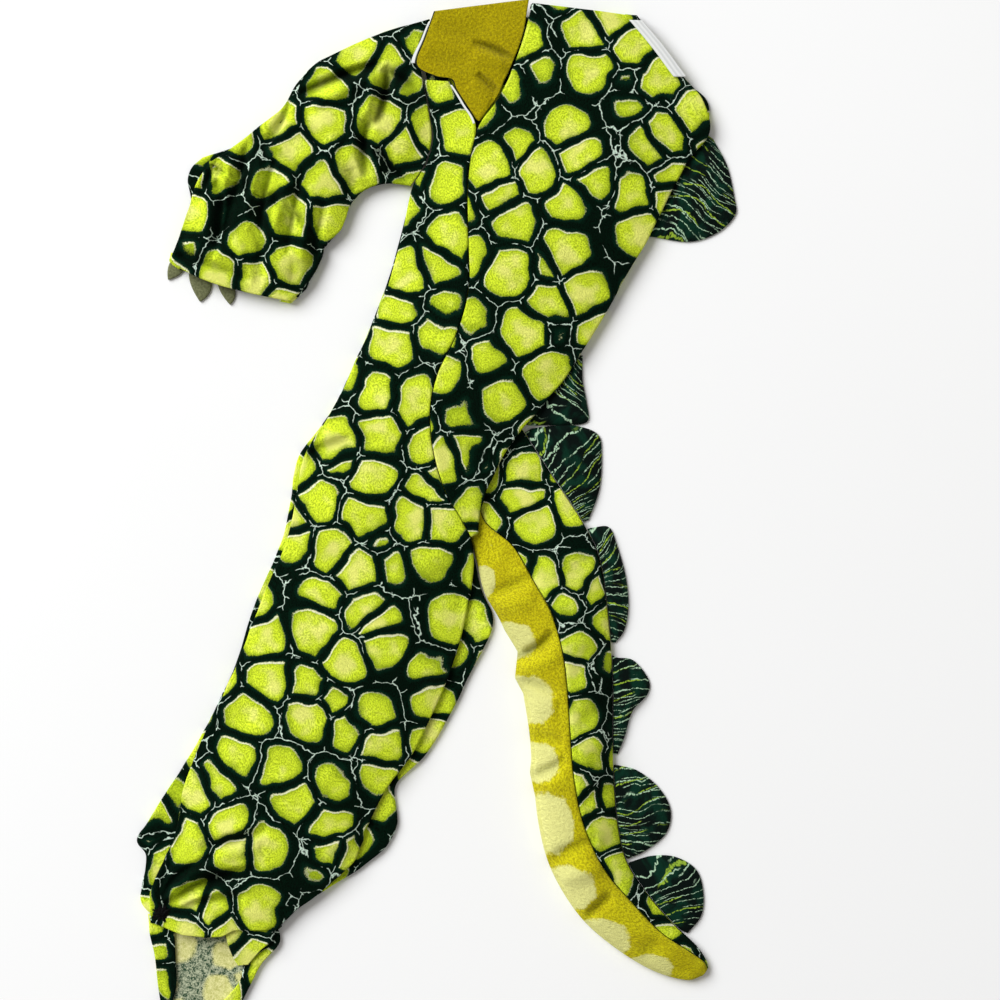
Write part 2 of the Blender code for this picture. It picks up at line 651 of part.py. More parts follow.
def neck_facing():
    """The yellow facing turned out over the shoulder at the neck opening."""
    tops, bottoms = [], []
    for row in np.linspace(0, len(FACING) - 1, FACING_ROWS):
        section = Facing(*smooth(FACING, row)[0])
        place, width = along((section.left_x, section.left_y), (section.right_x, section.right_y))
        top, bottom = [], []
        for share in np.linspace(0, 1, FACING_COLUMNS):
            x, y = place(share * width)
            z = facing_top(y) - FACING_ROLL_OFF * abs(2 * share - 1) ** 3
            top.append(board(x, y, z))
            bottom.append(board(x, y, z - CLOTH))
        tops.append(top)
        bottoms.append(bottom)
    return layered_solid("neck_facing", tops, bottoms, "belly_fleece")


def strip(name, rows):
    """A flat strip of tape whose underside runs through rows of two points, lifted clear of the cloth it is sewn on."""
    bottoms = [[(x, y, z + REST_GAP / 1000) for x, y, z in row] for row in rows]
    tops = [[(x, y, z + TAPE_THICK / 1000) for x, y, z in row] for row in bottoms]
    return layered_solid(name, tops, bottoms, "tape_white")


def border_tape(name, tape):
    """Tape sewn flat on a panel along one of its borders."""
    rows = []
    for row in np.linspace(tape.first_row, tape.last_row, TAPE_ROWS):
        section, _ = body_section(row)
        left, right, length = body_ends(section)
        border = (section.front_x, section.front_y) if tape.border == "front_right" else right
        place, width = along(left, border)
        height = body_height(section, left, length)
        spots = [place(width - inset) for inset in (tape.inner, tape.outer)]
        rows.append([board(x, y, height(0, x, y) + 0.1) for x, y in spots])
    return strip(name, rows)


def facing_tape():
    """Tape along the facing's outer border, beside it on the shoulder of the sleeve."""
    rows = []
    for row in np.linspace(0.15, FACING_TAPE_LAST_ROW, TAPE_ROWS):
        section = Facing(*smooth(FACING, row)[0])
        place, _ = along((section.left_x, section.left_y), (section.right_x, section.right_y))
        spots = [place(-FACING_TAPE_WIDTH - SEAM_GAP), place(-SEAM_GAP)]
        rows.append([board(x, y, facing_top(y) - FACING_ROLL_OFF - CLOTH) for x, y in spots])
    return strip("front_tape_upper", rows)


def flat_piece(name, table, base):
    """A flattened piece of folded cloth lying at its base height, rounded at both borders."""
    colour = "wrong_side" if name == "foot_back" else "scale_plush"
    tops, bottoms = [], []
    for row in np.linspace(0, len(table) - 1, FLAT_ROWS):
        section = Flat(*smooth(table, row)[0])
        place, width = along((section.left_x, section.left_y), (section.right_x, section.right_y))
        top, bottom = [], []
        for share in FLAT_SHARES:
            x, y = place(share * width)
            high = mix(section.left_top, section.right_top, share)
            lip = 0.35 * (high - base) if share in (0, 1) else 0.0
            top.append(board(x, y, high - lip))
            bottom.append(board(x, y, base + lip))
        tops.append(top)
        bottoms.append(bottom)
    return layered_solid(name, tops, bottoms, colour)


def claw(name, shape):
    """A pointed claw of doubled felt, from its root just under the hem to its rounded tip."""
    _, place, width = sleeve_place(HAND, CLAW_ROOT_ROW, hem_bend)
    roots = [place(width * share) for share in np.linspace(shape.first_share, shape.last_share, 5)]
    tip = np.array([shape.tip_x, shape.tip_y], float)
    tops, bottoms = [], []
    for share in np.linspace(0, 1, CLAW_ROWS):
        row = [mix(mix(roots[2], tip, share), root + (tip - roots[2]) * share, 1 - 0.9 * share ** 2.2) for root in roots]
        tops.append([board(*place, 0.4 + CLAW_THICK) for place in row])
        bottoms.append([board(*place, 0.4) for place in row])
    return layered_solid(name, tops, bottoms, "claw_felt")


# Below the tail the back panel has ended, so its columns repeat the front panel's border
BODY_ROWS = [
    section._replace(back_x=section.front_x, back_y=section.front_y, right_x=section.front_x, right_y=section.front_y)
    if section.back_x == 0
    else section
    for section in BODY
]

for old in list(bpy.data.objects):
    bpy.data.objects.remove(old)

costume = bpy.data.collections.new("dinosaur_costume")
bpy.context.scene.collection.children.link(costume)
materials = {}
for label, (colour, roughness) in COLOURS.items():
    material = bpy.data.materials.new(label)
    material.use_nodes = True
    shader = material.node_tree.nodes["Principled BSDF"]
    shader.inputs["Base Color"].default_value = (*colour, 1)
    shader.inputs["Roughness"].default_value = roughness
    shader.inputs["Metallic"].default_value = 0.0
    materials[label] = material

front_panel()
back_panel()
far_body()
near_sleeve()
near_hand_cover()
far_sleeve()
tail_piece("tail_belly", "belly", "belly_fleece")
tail_piece("tail_near_side", "near", "scale_plush")
tail_piece("tail_far_side", "far", "scale_plush")
for label, shape in PLATES.items():
    plate(label, shape)
neck_facing()
facing_tape()
for label, shape in TAPES.items():
    border_tape(label, shape)
for label, table in FLATS.items():
    flat_piece(label, table, FLAT_BASES[label])
for label, shape in CLAWS.items():
    claw(label, shape)
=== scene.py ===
import math

import bpy
import numpy as np
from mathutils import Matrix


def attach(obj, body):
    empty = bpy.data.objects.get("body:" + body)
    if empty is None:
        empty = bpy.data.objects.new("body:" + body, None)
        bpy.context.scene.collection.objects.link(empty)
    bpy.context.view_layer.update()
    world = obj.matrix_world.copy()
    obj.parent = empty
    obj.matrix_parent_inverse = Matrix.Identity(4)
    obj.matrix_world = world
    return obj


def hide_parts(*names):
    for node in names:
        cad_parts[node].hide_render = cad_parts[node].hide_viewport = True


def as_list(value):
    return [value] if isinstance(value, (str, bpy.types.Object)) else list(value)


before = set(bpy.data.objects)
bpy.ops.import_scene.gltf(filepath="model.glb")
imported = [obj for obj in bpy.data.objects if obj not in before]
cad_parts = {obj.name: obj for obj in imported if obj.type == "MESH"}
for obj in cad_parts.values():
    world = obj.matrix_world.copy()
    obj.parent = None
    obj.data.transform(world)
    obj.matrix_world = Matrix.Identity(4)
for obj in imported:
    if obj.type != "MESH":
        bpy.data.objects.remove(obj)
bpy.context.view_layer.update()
print("stage: frame loaded,", len(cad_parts), "nodes")

boardCentre = np.array([437.15, 506.0])
cloth = {
    "wall": 1.7,  # plush with its pile
    "roll": 3.0,  # radius that a folded border rolls round
    "foldTuck": 8.0,  # how far it runs back under itself
    "seamTuck": 1.0,
    "seamTurn": 30.0,  # degrees that a seam's border dips
    "farEdge": 6.0,  # thickness of the half underneath at its borders
    "edgeTop": 12.3,  # height of the near half at its borders
    "domePower": 2.6,
    "seamGap": 0.4,
    "coreDrop": 13.0,  # how far the pile underneath stays below the near half
    "waver": 0.7,  # how far a border strays from its line
    "leastHeight": 6.9,  # no trough of the near sleeve goes down to the far one
    "foldShadePower": 1.3,  # how late the painted shade sets in down a trough
}


def smoothRows(table, at):
    # values of a table's columns at fractional rows, on a smooth curve through its rows
    rows = np.array(table, float)
    padded = np.vstack([2 * rows[0] - rows[1], rows, 2 * rows[-1] - rows[-2]])
    at = np.atleast_1d(np.asarray(at, float))
    low = np.clip(np.floor(at).astype(int), 0, len(rows) - 2)
    f = (at - low)[:, None]
    p0, p1, p2, p3 = (padded[low + k] for k in range(4))
    return p1 + 0.5 * f * (p2 - p0 + f * (2 * p0 - 5 * p1 + 4 * p2 - p3 + f * (3 * (p1 - p2) + p3 - p0)))


def uneven(xy, size, seed):
    # smooth unevenness from -1 to 1, in lumps of this size
    lumps = 61  # along each side of the square that repeats
    lattice = np.random.RandomState(seed).uniform(-1, 1, (lumps, lumps))
    at = np.asarray(xy, float) / size + 500.37  # so that no lump starts at the board's corner
    low = np.floor(at).astype(int)
    f = at - low
    f = f * f * (3 - 2 * f)
    a, b = low[..., 0] % lumps, low[..., 1] % lumps
    c, d = (a + 1) % lumps, (b + 1) % lumps
    top = lattice[a, b] * (1 - f[..., 0]) + lattice[c, b] * f[..., 0]
    low = lattice[a, d] * (1 - f[..., 0]) + lattice[c, d] * f[..., 0]
    return top * (1 - f[..., 1]) + low * f[..., 1]


def creased(xy, creases):
    # height of soft troughs (negative) and ridges (positive) along bowed lines that fade at their ends:
    # start, middle and end, then half width, height, and how far it leans to its right
    low, high = np.zeros(xy.shape[:-1]), np.zeros(xy.shape[:-1])
    t = np.linspace(0, 1, 27)  # a line in short straight runs
    for x1, y1, x2, y2, x3, y3, width, height, lean in creases:
        start, middle, end = np.array([x1, y1]), np.array([x2, y2]), np.array([x3, y3])
        pull = 2 * middle - (start + end) / 2
        line = np.outer((1 - t) ** 2, start) + np.outer(2 * t * (1 - t), pull) + np.outer(t * t, end)
        run = np.gradient(line, axis=0)
        step = np.linalg.norm(run, axis=1)
        run /= step[:, None]
        off = xy[..., None, :] - line
        near = np.argmin((off ** 2).sum(-1), -1)
        off = np.take_along_axis(off, near[..., None, None], -2)[..., 0, :]
        along = (off * run[near]).sum(-1)
        past = np.maximum(np.abs(along) - step[near] / 2, 0)
        away = (off ** 2).sum(-1) - along ** 2 + past ** 2
        at = np.clip(t[near] + along / step[near] * t[1], 0, 1)
        fade = (4 * at * (1 - at)) ** 0.5
        side = np.sign(run[near, 0] * off[..., 1] - run[near, 1] * off[..., 0])
        reach = width * (1 + lean * side)  # a leaning crease is steep on one side
        value = height * fade * np.exp(-away / reach ** 2)
        low, high = np.minimum(low, value), np.maximum(high, value)
    return low + high


def rumpled(xy, creases, lumps):
    # height of the creases and of unevenness in lumps: height, size and seed of each kind
    return sum((height * uneven(xy, size, seed) for height, size, seed in lumps), creased(xy, creases))


def foldShadeMask(places, creases, deep):
    # where the painted shade goes: 1 down in the troughs, 0 elsewhere
    return np.clip(-creased(places[..., :2], creases) / deep, 0, 1) ** cloth["foldShadePower"]


def dome(share):
    return 1 - np.abs(2 * np.clip(share, 0, 1) - 1) ** cloth["domePower"]


def inside(s, width, fade):
    # 0 at both borders, 1 from so far in
    return np.clip(np.minimum(s, width - s) / fade, 0, 1)


def rolledBorder(turned):
    # distance in, drop and length of cloth from the top, from a turned border's hidden end up to its top
    radius, steps = cloth["roll"], 9
    turn = math.radians(cloth["seamTurn"] + (180 - cloth["seamTurn"]) * turned)
    tuck = cloth["seamTuck"] + (cloth["foldTuck"] - cloth["seamTuck"]) * turned
    arc = np.linspace(turn, 0, steps)
    s, drop, used = -radius * np.sin(arc), radius * (np.cos(arc) - 1), radius * arc
    inner = np.linspace(1, 0, 4)[:-1] * tuck
    s = np.concatenate([s[0] - math.cos(turn) * inner, s])
    drop = np.concatenate([drop[0] - math.sin(turn) * inner, drop])
    used = np.concatenate([used[0] + inner, used])
    return s - s.min(), np.maximum(drop, -2 * radius), used


def clothRow(start, end, turned, heightOf, columns, bend=None):
    # one row across a layer of cloth, rolled under at both borders: its places and those on the flat cut
    start, end = np.array(start, float), np.array(end, float)
    width = np.linalg.norm(end - start)
    way = (end - start) / width
    (s0, drop0, used0), (s1, drop1, used1) = rolledBorder(turned[0]), rolledBorder(turned[1])
    first, last = s0[-1], width - s1[-1]
    middle = np.linspace(first, last, columns)
    s = np.concatenate([s0[:-1], middle, (width - s1[:-1])[::-1]])
    seat = np.clip(s, first, last)
    seat[: len(s0) - 1], seat[len(seat) - len(s1) + 1 :] = first, last
    drop = np.concatenate([drop0[:-1], np.zeros(columns), drop1[:-1][::-1]])
    extra = np.concatenate([-used0[:-1], np.zeros(columns), used1[:-1][::-1]])
    place = start + np.outer(s, way)
    seatPlace = start + np.outer(seat, way)
    if bend:
        place, seatPlace = place + bend(s / width), seatPlace + bend(seat / width)
    z = heightOf(seat, seatPlace, width) + drop
    flat = seatPlace + np.outer(extra, way)
    return np.column_stack([place, z]), flat


def turnEnd(places, flats, radius, tuck, last=True):
    # rolls the end of a grid of rows down and back under itself
    if not last:
        places, flats = places[::-1], flats[::-1]
    run = places[-1] - places[-2]
    run[:, 2] = 0
    step = np.linalg.norm(run, axis=1)[:, None]
    run, runFlat = run / step, (flats[-1] - flats[-2]) / step
    more, moreFlat = [], []
    for a in np.linspace(0, math.pi, 8)[1:]:
        more.append(places[-1] + run * radius * math.sin(a) + [0, 0, radius * (math.cos(a) - 1)])
        moreFlat.append(flats[-1] + runFlat * radius * a)
    more.append(more[-1] - run * tuck)
    moreFlat.append(moreFlat[-1] + runFlat * tuck)
    places, flats = np.concatenate([places, more]), np.concatenate([flats, moreFlat])
    return (places, flats) if last else (places[::-1], flats[::-1])


def stacked(rows, rowOf):
    # the grids that rowOf's rows make one after the other
    return [np.array(grid) for grid in zip(*(rowOf(row) for row in rows))]


def toPart(places):
    x, y = places[..., 0] - boardCentre[0], boardCentre[1] - places[..., 1]
    return np.stack([x, y, places[..., 2]], -1) / 1000


def gridMesh(look, places, flats, marks, flip):
    # a grid of faces through rows of places, with the flat cut in metres as its UV map
    rows, columns = places.shape[:2]
    bpy.ops.object.select_all(action="DESELECT")
    bpy.ops.mesh.primitive_grid_add(x_subdivisions=columns - 1, y_subdivisions=rows - 1, size=1)
    piece = bpy.context.object
    piece.name = piece.data.name = look["name"]
    mesh = piece.data
    mesh.vertices.foreach_set("co", toPart(places).astype(np.float32).ravel())
    turn = math.radians(look.get("turn", 0))
    turned = np.array([[math.cos(turn), math.sin(turn)], [-math.sin(turn), math.cos(turn)]])
    flat = np.stack([flats[..., 0], -flats[..., 1]], -1) / 1000 * look.get("zoom", 1.0)
    flat = flat @ turned + look.get("shift", (0, 0))
    corner = np.zeros(len(mesh.loops), np.int32)
    mesh.loops.foreach_get("vertex_index", corner)
    mesh.uv_layers[0].name = "cut"
    mesh.uv_layers[0].data.foreach_set("uv", flat.reshape(-1, 2)[corner].astype(np.float32).ravel())
    for label, values in marks.items():
        spread = np.broadcast_to(values, (rows, columns)).astype(np.float32)
        mesh.attributes.new(label, "FLOAT", "POINT").data.foreach_set("value", spread.ravel())
    if flip:
        mesh.flip_normals()
    mesh.materials.clear()
    mesh.materials.append(look["material"])
    mesh.update()
    return piece


def addWall(piece, wall):
    bpy.ops.object.modifier_add(type="SOLIDIFY")
    solidify = piece.modifiers[-1]
    solidify.thickness = wall / 1000
    solidify.offset = -1
    bpy.ops.object.modifier_apply(modifier=solidify.name)


def flatCut(flats):
    # the cut's width, length and area in metres, from its places on the flat
    flat = flats / 1000
    a, b = flat[1:, 1:] - flat[:-1, :-1], flat[1:, :-1] - flat[:-1, 1:]
    area = 0.5 * np.abs(a[..., 0] * b[..., 1] - a[..., 1] * b[..., 0]).sum()
    centre = flat.reshape(-1, 2) - flat.reshape(-1, 2).mean(0)
    _, _, axes = np.linalg.svd(centre, full_matrices=False)
    spread = centre @ axes.T
    length, width = spread.max(0) - spread.min(0)
    return (round(float(width), 3), round(float(length), 3)), round(float(area), 4)


def finishPiece(piece, look, flats=None):
    piece.data.shade_smooth()
    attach(piece, "root")
    if "node" in look:
        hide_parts(look["node"])
    if "fill" in look:
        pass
    elif "held" in look:
        size, area = flatCut(flats)
        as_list(look.get("restsOn", []))
        print("stage:", look["name"], size, area)


def layCloth(look, places, flats, marks=None, flip=True):
    # a thin sheet of cloth through rows of places
    piece = gridMesh(look, places, flats, marks or {}, flip)
    addWall(piece, look.get("wall", cloth["wall"]))
    finishPiece(piece, look, flats)


def around(over, under):
    # the columns of one grid and back along the other's, closed to a ring
    return np.concatenate([over, under[:, ::-1], over[:, :1]], axis=1)


def capped(ring):
    # its first and last rows once more, where the ends close
    return np.concatenate([ring[:1], ring, ring[-1:]])


def closedCloth(look, tops, bottoms, marks=None, cut=None):
    # folded cloth as one closed form between two grids of places that meet round their rims
    middle = (tops + bottoms) / 2
    ends = around(middle, middle)
    ring = np.concatenate([ends[:1], around(tops, bottoms), ends[-1:]])
    flats = ring[..., :2] if cut is None else capped(around(cut, cut))
    piece = gridMesh(look, ring, flats, marks or {}, True)
    bpy.ops.object.mode_set(mode="EDIT")
    bpy.ops.mesh.select_all(action="SELECT")
    bpy.ops.mesh.remove_doubles(threshold=0.00002)
    bpy.ops.mesh.normals_make_consistent(inside=False)
    bpy.ops.object.mode_set(mode="OBJECT")
    finishPiece(piece, look, tops[..., :2])


def addNode(tree, kind, plugs=None, **settings):
    # a shader node with links or values in its plugs
    made = tree.nodes.new("ShaderNode" + kind)
    for key, value in settings.items():
        setattr(made, key, value)
    for key, value in (plugs or {}).items():
        if isinstance(value, bpy.types.NodeSocket):
            tree.links.new(value, made.inputs[key])
        else:
            made.inputs[key].default_value = value
    return made


def calc(tree, operation, *values):
    return addNode(tree, "Math", dict(enumerate(values)), operation=operation).outputs[0]


def plus(tree, a, b):
    return calc(tree, "ADD", a, b)


def times(tree, a, b):
    return calc(tree, "MULTIPLY", a, b)


def swing(tree, value, amount):
    # a value from 0 to 1 made to swing round 0, this far apart
    return times(tree, calc(tree, "SUBTRACT", value, 0.5), amount)


def vector(tree, operation, place, other):
    plug = "Scale" if operation == "SCALE" else 1
    return addNode(tree, "VectorMath", {0: place, plug: other}, operation=operation).outputs[0]


def ramp(tree, value, low, high, start=0.0, end=1.0):
    plugs = {"Value": value, "From Min": low, "From Max": high, "To Min": start, "To Max": end}
    return addNode(tree, "MapRange", plugs, interpolation_type="SMOOTHSTEP").outputs["Result"]


def blendColour(tree, share, a, b, kind="MIX"):
    made = addNode(tree, "Mix", data_type="RGBA", blend_type=kind, clamp_factor=True)
    for plug, value in ((made.inputs[0], share), (made.inputs[6], a), (made.inputs[7], b)):
        if isinstance(value, bpy.types.NodeSocket):
            tree.links.new(value, plug)
        else:
            plug.default_value = (*value, 1) if isinstance(value, tuple) else value
    return made.outputs[2]


def noise(tree, place, scale, detail=1.0, output=0, rough=0.5):
    plugs = {"Vector": place, "Scale": scale, "Detail": detail, "Roughness": rough}
    return addNode(tree, "TexNoise", plugs, noise_dimensions="2D").outputs[output]


def markOf(tree, label):
    return addNode(tree, "Attribute", attribute_name=label).outputs["Fac"]


def cutPlace(tree):
    return addNode(tree, "UVMap", uv_map="cut").outputs[0]


def newMaterial(name, finish):
    material = bpy.data.materials.new(name)
    material.use_nodes = True
    shader = material.node_tree.nodes["Principled BSDF"]
    for key, value in finish.items():
        shader.inputs[key].default_value = value
    return material, material.node_tree, shader


# painted shade in the fold troughs: how much of it at most, and its tint
shade = {"share": 0.85, "tint": (0.22, 0.24, 0.18)}


def paintedFoldShade(tree, colour):
    # painted shade: the colour is darkened down in a fold's trough, where shade falls
    share = times(tree, markOf(tree, "fold"), shade["share"])
    return blendColour(tree, share, colour, shade["tint"], "MULTIPLY")


def wearColour(tree, shader, colour, height, depth):
    # joins the colour and the pile's fine relief, so many metres deep, to the shader
    tree.links.new(colour, shader.inputs["Base Color"])
    bump = addNode(tree, "Bump", {"Height": height, "Distance": depth})
    tree.links.new(bump.outputs[0], shader.inputs["Normal"])


plushPrint = {
    "cell": 44.0,  # size of the cells that the scales are a slice through, in millimetres
    "slice": 0.5,
    "randomness": 0.88,
    "warp": 0.26,  # how uneven the scales' sides are
    "gap": 0.092,  # half the ground between two scales, in cells
    "reach": 0.62,  # longest half of a scale, in cells
    "corner": 0.24,  # how round the scales' corners are
    "fuzz": 0.05,
    "napFrequency": 30,  # per cell
    "rimShift": (-0.017, 0.035, 0),  # which way the light rim lies, in cells
    "rimSpan": (-0.006, 0.010),
    "glowStray": 0.7,  # how uneven the glow's outline is
    "glowSpan": (0.42, 0.06),  # from where the middle glows, and where it is full, in cells from its centre
    "shadeSpan": (0.10, 0.0),  # the same of the deeper green, in cells from the scale's edge
    "crackLine": (0.005, 0.012),
    "crackSpan": (0.304, 0.318),  # how near to a fork of the ground the cracks begin
    "forkDepth": 0.45,  # of the smoothed distance's drop
    "forkStray": 0.14,
    "barbCells": 3.2,  # barbs to a cell
    "barbLine": (0.015, 0.04),
    "barbReach": (0.03, 0.055),  # how far from a crack they fade
    "pileStretch": (34.0, 23.0, 1.0),
    "relief": 0.0006,
    "glowShare": 0.8,
    "shadeShare": 0.62,
    "speckleShare": 0.55,  # how much deeper the green is between the speckles
    "rimShare": 0.95,
    "lime": (0.81, 0.99, 0.040),
    "limeDeep": (0.15, 0.27, 0.004),
    "glow": (1.0, 1.0, 0.27),
    "cream": (1.0, 1.0, 0.70),
    "ground": (0.0006, 0.0026, 0.0009),
    "groundGreen": (0.002, 0.021, 0.010),
    "crack": (0.72, 0.90, 0.76),
    "knitDark": (0.020, 0.060, 0.030),  # these four are the wrong side
    "knitLight": (0.50, 0.54, 0.37),
    "throughDark": (0.50, 0.50, 0.14),
    "throughLight": (0.86, 0.83, 0.40),
}


def cells(tree, place, feature, dimensions="3D", **plugs):
    plugs = {"Vector": place, "Scale": 1.0, "Randomness": plushPrint["randomness"], **plugs}
    made = addNode(tree, "TexVoronoi", plugs, voronoi_dimensions=dimensions, feature=feature)
    return made.outputs["Distance"]


def scaleMask(tree, place, centre):
    # above 0 inside a scale, with rounded corners
    edge = calc(tree, "SUBTRACT", cells(tree, place, "DISTANCE_TO_EDGE"), plushPrint["gap"])
    reach = times(tree, calc(tree, "SUBTRACT", plushPrint["reach"], centre), 0.7)
    return calc(tree, "SMOOTH_MIN", edge, reach, plushPrint["corner"])


def bentBy(tree, place, scaled, frequency, amount, detail):
    # moves a place about by smooth unevenness
    bend = vector(tree, "SUBTRACT", noise(tree, scaled, frequency, detail, output=1), (0.5, 0.5, 0.5))
    return vector(tree, "ADD", place, vector(tree, "SCALE", bend, amount))


def scalePlush(name, washed=False):
    look = plushPrint
    finish = {"Roughness": 0.95, "Sheen Weight": 0.01, "Sheen Roughness": 0.45, "Specular IOR Level": 0.03}
    material, tree, shader = newMaterial(name, finish)
    scaled = vector(tree, "SCALE", cutPlace(tree), 1000 / look["cell"])
    place = vector(tree, "ADD", scaled, (0, 0, look["slice"]))
    place = bentBy(tree, place, scaled, 1.5, look["warp"], 1.5)
    centre = cells(tree, place, "F1")
    nap = noise(tree, scaled, look["napFrequency"], 2.5, rough=0.7)
    fuzz = swing(tree, nap, look["fuzz"])
    value = plus(tree, scaleMask(tree, place, centre), fuzz)
    if washed:  # the knitted wrong side, with the print showing through pale
        knit = times(tree, noise(tree, scaled, 22, 3, rough=0.8), 0.62)
        knit = plus(tree, knit, times(tree, noise(tree, scaled, 7, 2, rough=0.6), 0.38))
        back = blendColour(tree, ramp(tree, knit, 0.40, 0.60), look["knitDark"], look["knitLight"])
        through = blendColour(tree, ramp(tree, knit, 0.3, 0.7), look["throughDark"], look["throughLight"])
        share = ramp(tree, plus(tree, value, swing(tree, knit, 0.16)), -0.05, 0.05)
        wearColour(tree, shader, blendColour(tree, share, back, through), knit, look["relief"])
        return material
    mask = ramp(tree, value, -0.010, 0.012)
    # a cream rim where the light catches the pile, mostly on the upper left of each scale
    upper = scaleMask(tree, vector(tree, "ADD", place, look["rimShift"]), centre)
    rimLight = times(tree, mask, ramp(tree, plus(tree, upper, fuzz), *look["rimSpan"], 1, 0))
    # pale glow in the middle, deeper green to the edge, speckled by the pile
    glow = plus(tree, centre, swing(tree, noise(tree, scaled, 2.6, 1.0), look["glowStray"]))
    glow = ramp(tree, glow, *look["glowSpan"])
    pile = vector(tree, "MULTIPLY", bentBy(tree, scaled, scaled, 1.1, 0.5, 1.0), look["pileStretch"])
    speckle = ramp(tree, noise(tree, pile, 1.0, 3, rough=0.8), 0.33, 0.54)
    lime = blendColour(tree, times(tree, glow, look["glowShare"]), look["lime"], look["glow"])
    rimShade = ramp(tree, plus(tree, value, times(tree, fuzz, 1.5)), *look["shadeSpan"])
    lime = blendColour(tree, times(tree, rimShade, look["shadeShare"]), lime, look["limeDeep"])
    darker = blendColour(tree, look["speckleShare"], lime, look["limeDeep"])
    lime = blendColour(tree, calc(tree, "MAXIMUM", speckle, times(tree, glow, 0.9)), darker, lime)
    ground = blendColour(tree, ramp(tree, value, -0.07, -0.01), look["ground"], look["groundGreen"])
    ground = blendColour(tree, times(tree, speckle, 0.35), ground, look["groundGreen"])
    colour = blendColour(tree, mask, ground, lime)
    colour = blendColour(tree, times(tree, rimLight, look["rimShare"]), colour, look["cream"])
    # thin broken cracks where the ground forks: a smoothed distance drops most where three scales meet
    crackPlace = bentBy(tree, place, scaled, 6.5, 0.10, 1.5)
    between = cells(tree, crackPlace, "DISTANCE_TO_EDGE")
    line = ramp(tree, between, *look["crackLine"], 1, 0)
    smooth = cells(tree, place, "SMOOTH_F1", Smoothness=0.9)
    fork = times(tree, calc(tree, "SUBTRACT", centre, smooth), 1 / look["forkDepth"])
    fork = plus(tree, fork, swing(tree, noise(tree, scaled, 3.3, 1.0), look["forkStray"]))
    # small barbs stand off the cracks here and there
    barb = cells(tree, crackPlace, "DISTANCE_TO_EDGE", "2D", Scale=look["barbCells"], Randomness=1.0)
    barb = ramp(tree, barb, *look["barbLine"], 1, 0)
    barb = times(tree, barb, ramp(tree, between, *look["barbReach"], 1, 0))
    barb = times(tree, barb, ramp(tree, noise(tree, scaled, 3.1, 1.0), 0.55, 0.59))
    line = times(tree, calc(tree, "MAXIMUM", line, barb), ramp(tree, fork, *look["crackSpan"]))
    line = times(tree, line, ramp(tree, value, -0.02, -0.040))
    line = times(tree, line, ramp(tree, nap, 0.32, 0.50, 0.5, 1.0))
    colour = blendColour(tree, line, colour, look["crack"])
    height = plus(tree, plus(tree, nap, times(tree, speckle, 0.7)), times(tree, mask, 0.6))
    wearColour(tree, shader, paintedFoldShade(tree, colour), height, look["relief"])
    return material


fleece = {
    "mustard": (0.62, 0.51, 0.001),
    "light": (0.93, 0.88, 0.012),
    "shade": (0.28, 0.21, 0.001),
    "pale": (1.0, 1.0, 0.37),
    "binding": (0.006, 0.012, 0.010),
    "curls": 330,  # per metre, as are the fibres and grains
    "fibres": 1400,
    "grains": 480,
    "relief": 0.0022,
}


def bellyFleece():
    finish = {"Roughness": 0.95, "Sheen Weight": 0.05, "Sheen Roughness": 0.5, "Specular IOR Level": 0.06}
    material, tree, shader = newMaterial("bellyFleece", finish)
    flat = cutPlace(tree)
    curl = noise(tree, flat, fleece["curls"], 3, rough=0.75)
    fine = noise(tree, flat, fleece["fibres"], 2, rough=0.7)
    pale = plus(tree, markOf(tree, "pale"), swing(tree, noise(tree, flat, 90, 2), 0.9))
    pale = ramp(tree, plus(tree, pale, swing(tree, curl, 0.7)), 0.32, 0.68)
    binding = ramp(tree, plus(tree, markOf(tree, "binding"), swing(tree, fine, 0.5)), 0.4, 0.6)
    colour = blendColour(tree, ramp(tree, curl, 0.36, 0.62), fleece["shade"], fleece["mustard"])
    colour = blendColour(tree, 0.45, colour, fleece["mustard"])
    broad = ramp(tree, noise(tree, flat, 32, 2), 0.35, 0.65, 0.6, 1.0)
    light = times(tree, plus(tree, markOf(tree, "bright"), 0.15), broad)
    colour = blendColour(tree, light, colour, fleece["light"])
    grain = ramp(tree, noise(tree, flat, fleece["grains"], 2, rough=0.6), 0.40, 0.56, 0.5, 0)
    colour = blendColour(tree, grain, colour, fleece["shade"])
    colour = blendColour(tree, pale, colour, fleece["pale"])
    colour = blendColour(tree, ramp(tree, fine, 0.42, 0.6, 0.35, 0), colour, fleece["shade"])
    colour = blendColour(tree, binding, paintedFoldShade(tree, colour), fleece["binding"])
    height = plus(tree, curl, times(tree, fine, 0.4))
    wearColour(tree, shader, colour, height, fleece["relief"])
    return material


plateLook = {
    "ground": (0.0012, 0.0045, 0.0034),
    "groundLight": (0.002, 0.026, 0.014),
    "mint": (0.42, 0.62, 0.42),
    "lime": (0.30, 0.46, 0.04),
    # streaks: how close they lie, how fast they wander (both per metre), place,
    # width as a share of the spacing, colour
    "streaks": [
        (105.0, 12.0, 0.0, 0.034, "mint"),
        (72.0, 10.0, 7.3, 0.030, "lime"),
        (150.0, 15.0, 3.1, 0.034, "mint"),
    ],
    "wave": (16, 0.022),  # bends of all the streaks: per metre, and how far in metres
    "kink": (160, 0.0028),
    "nap": 500,  # per metre
    "stray": 2.6,  # how far a streak wanders, in spacings
    "soft": 1.9,  # its faded width over its full one
    "relief": 0.0007,
}


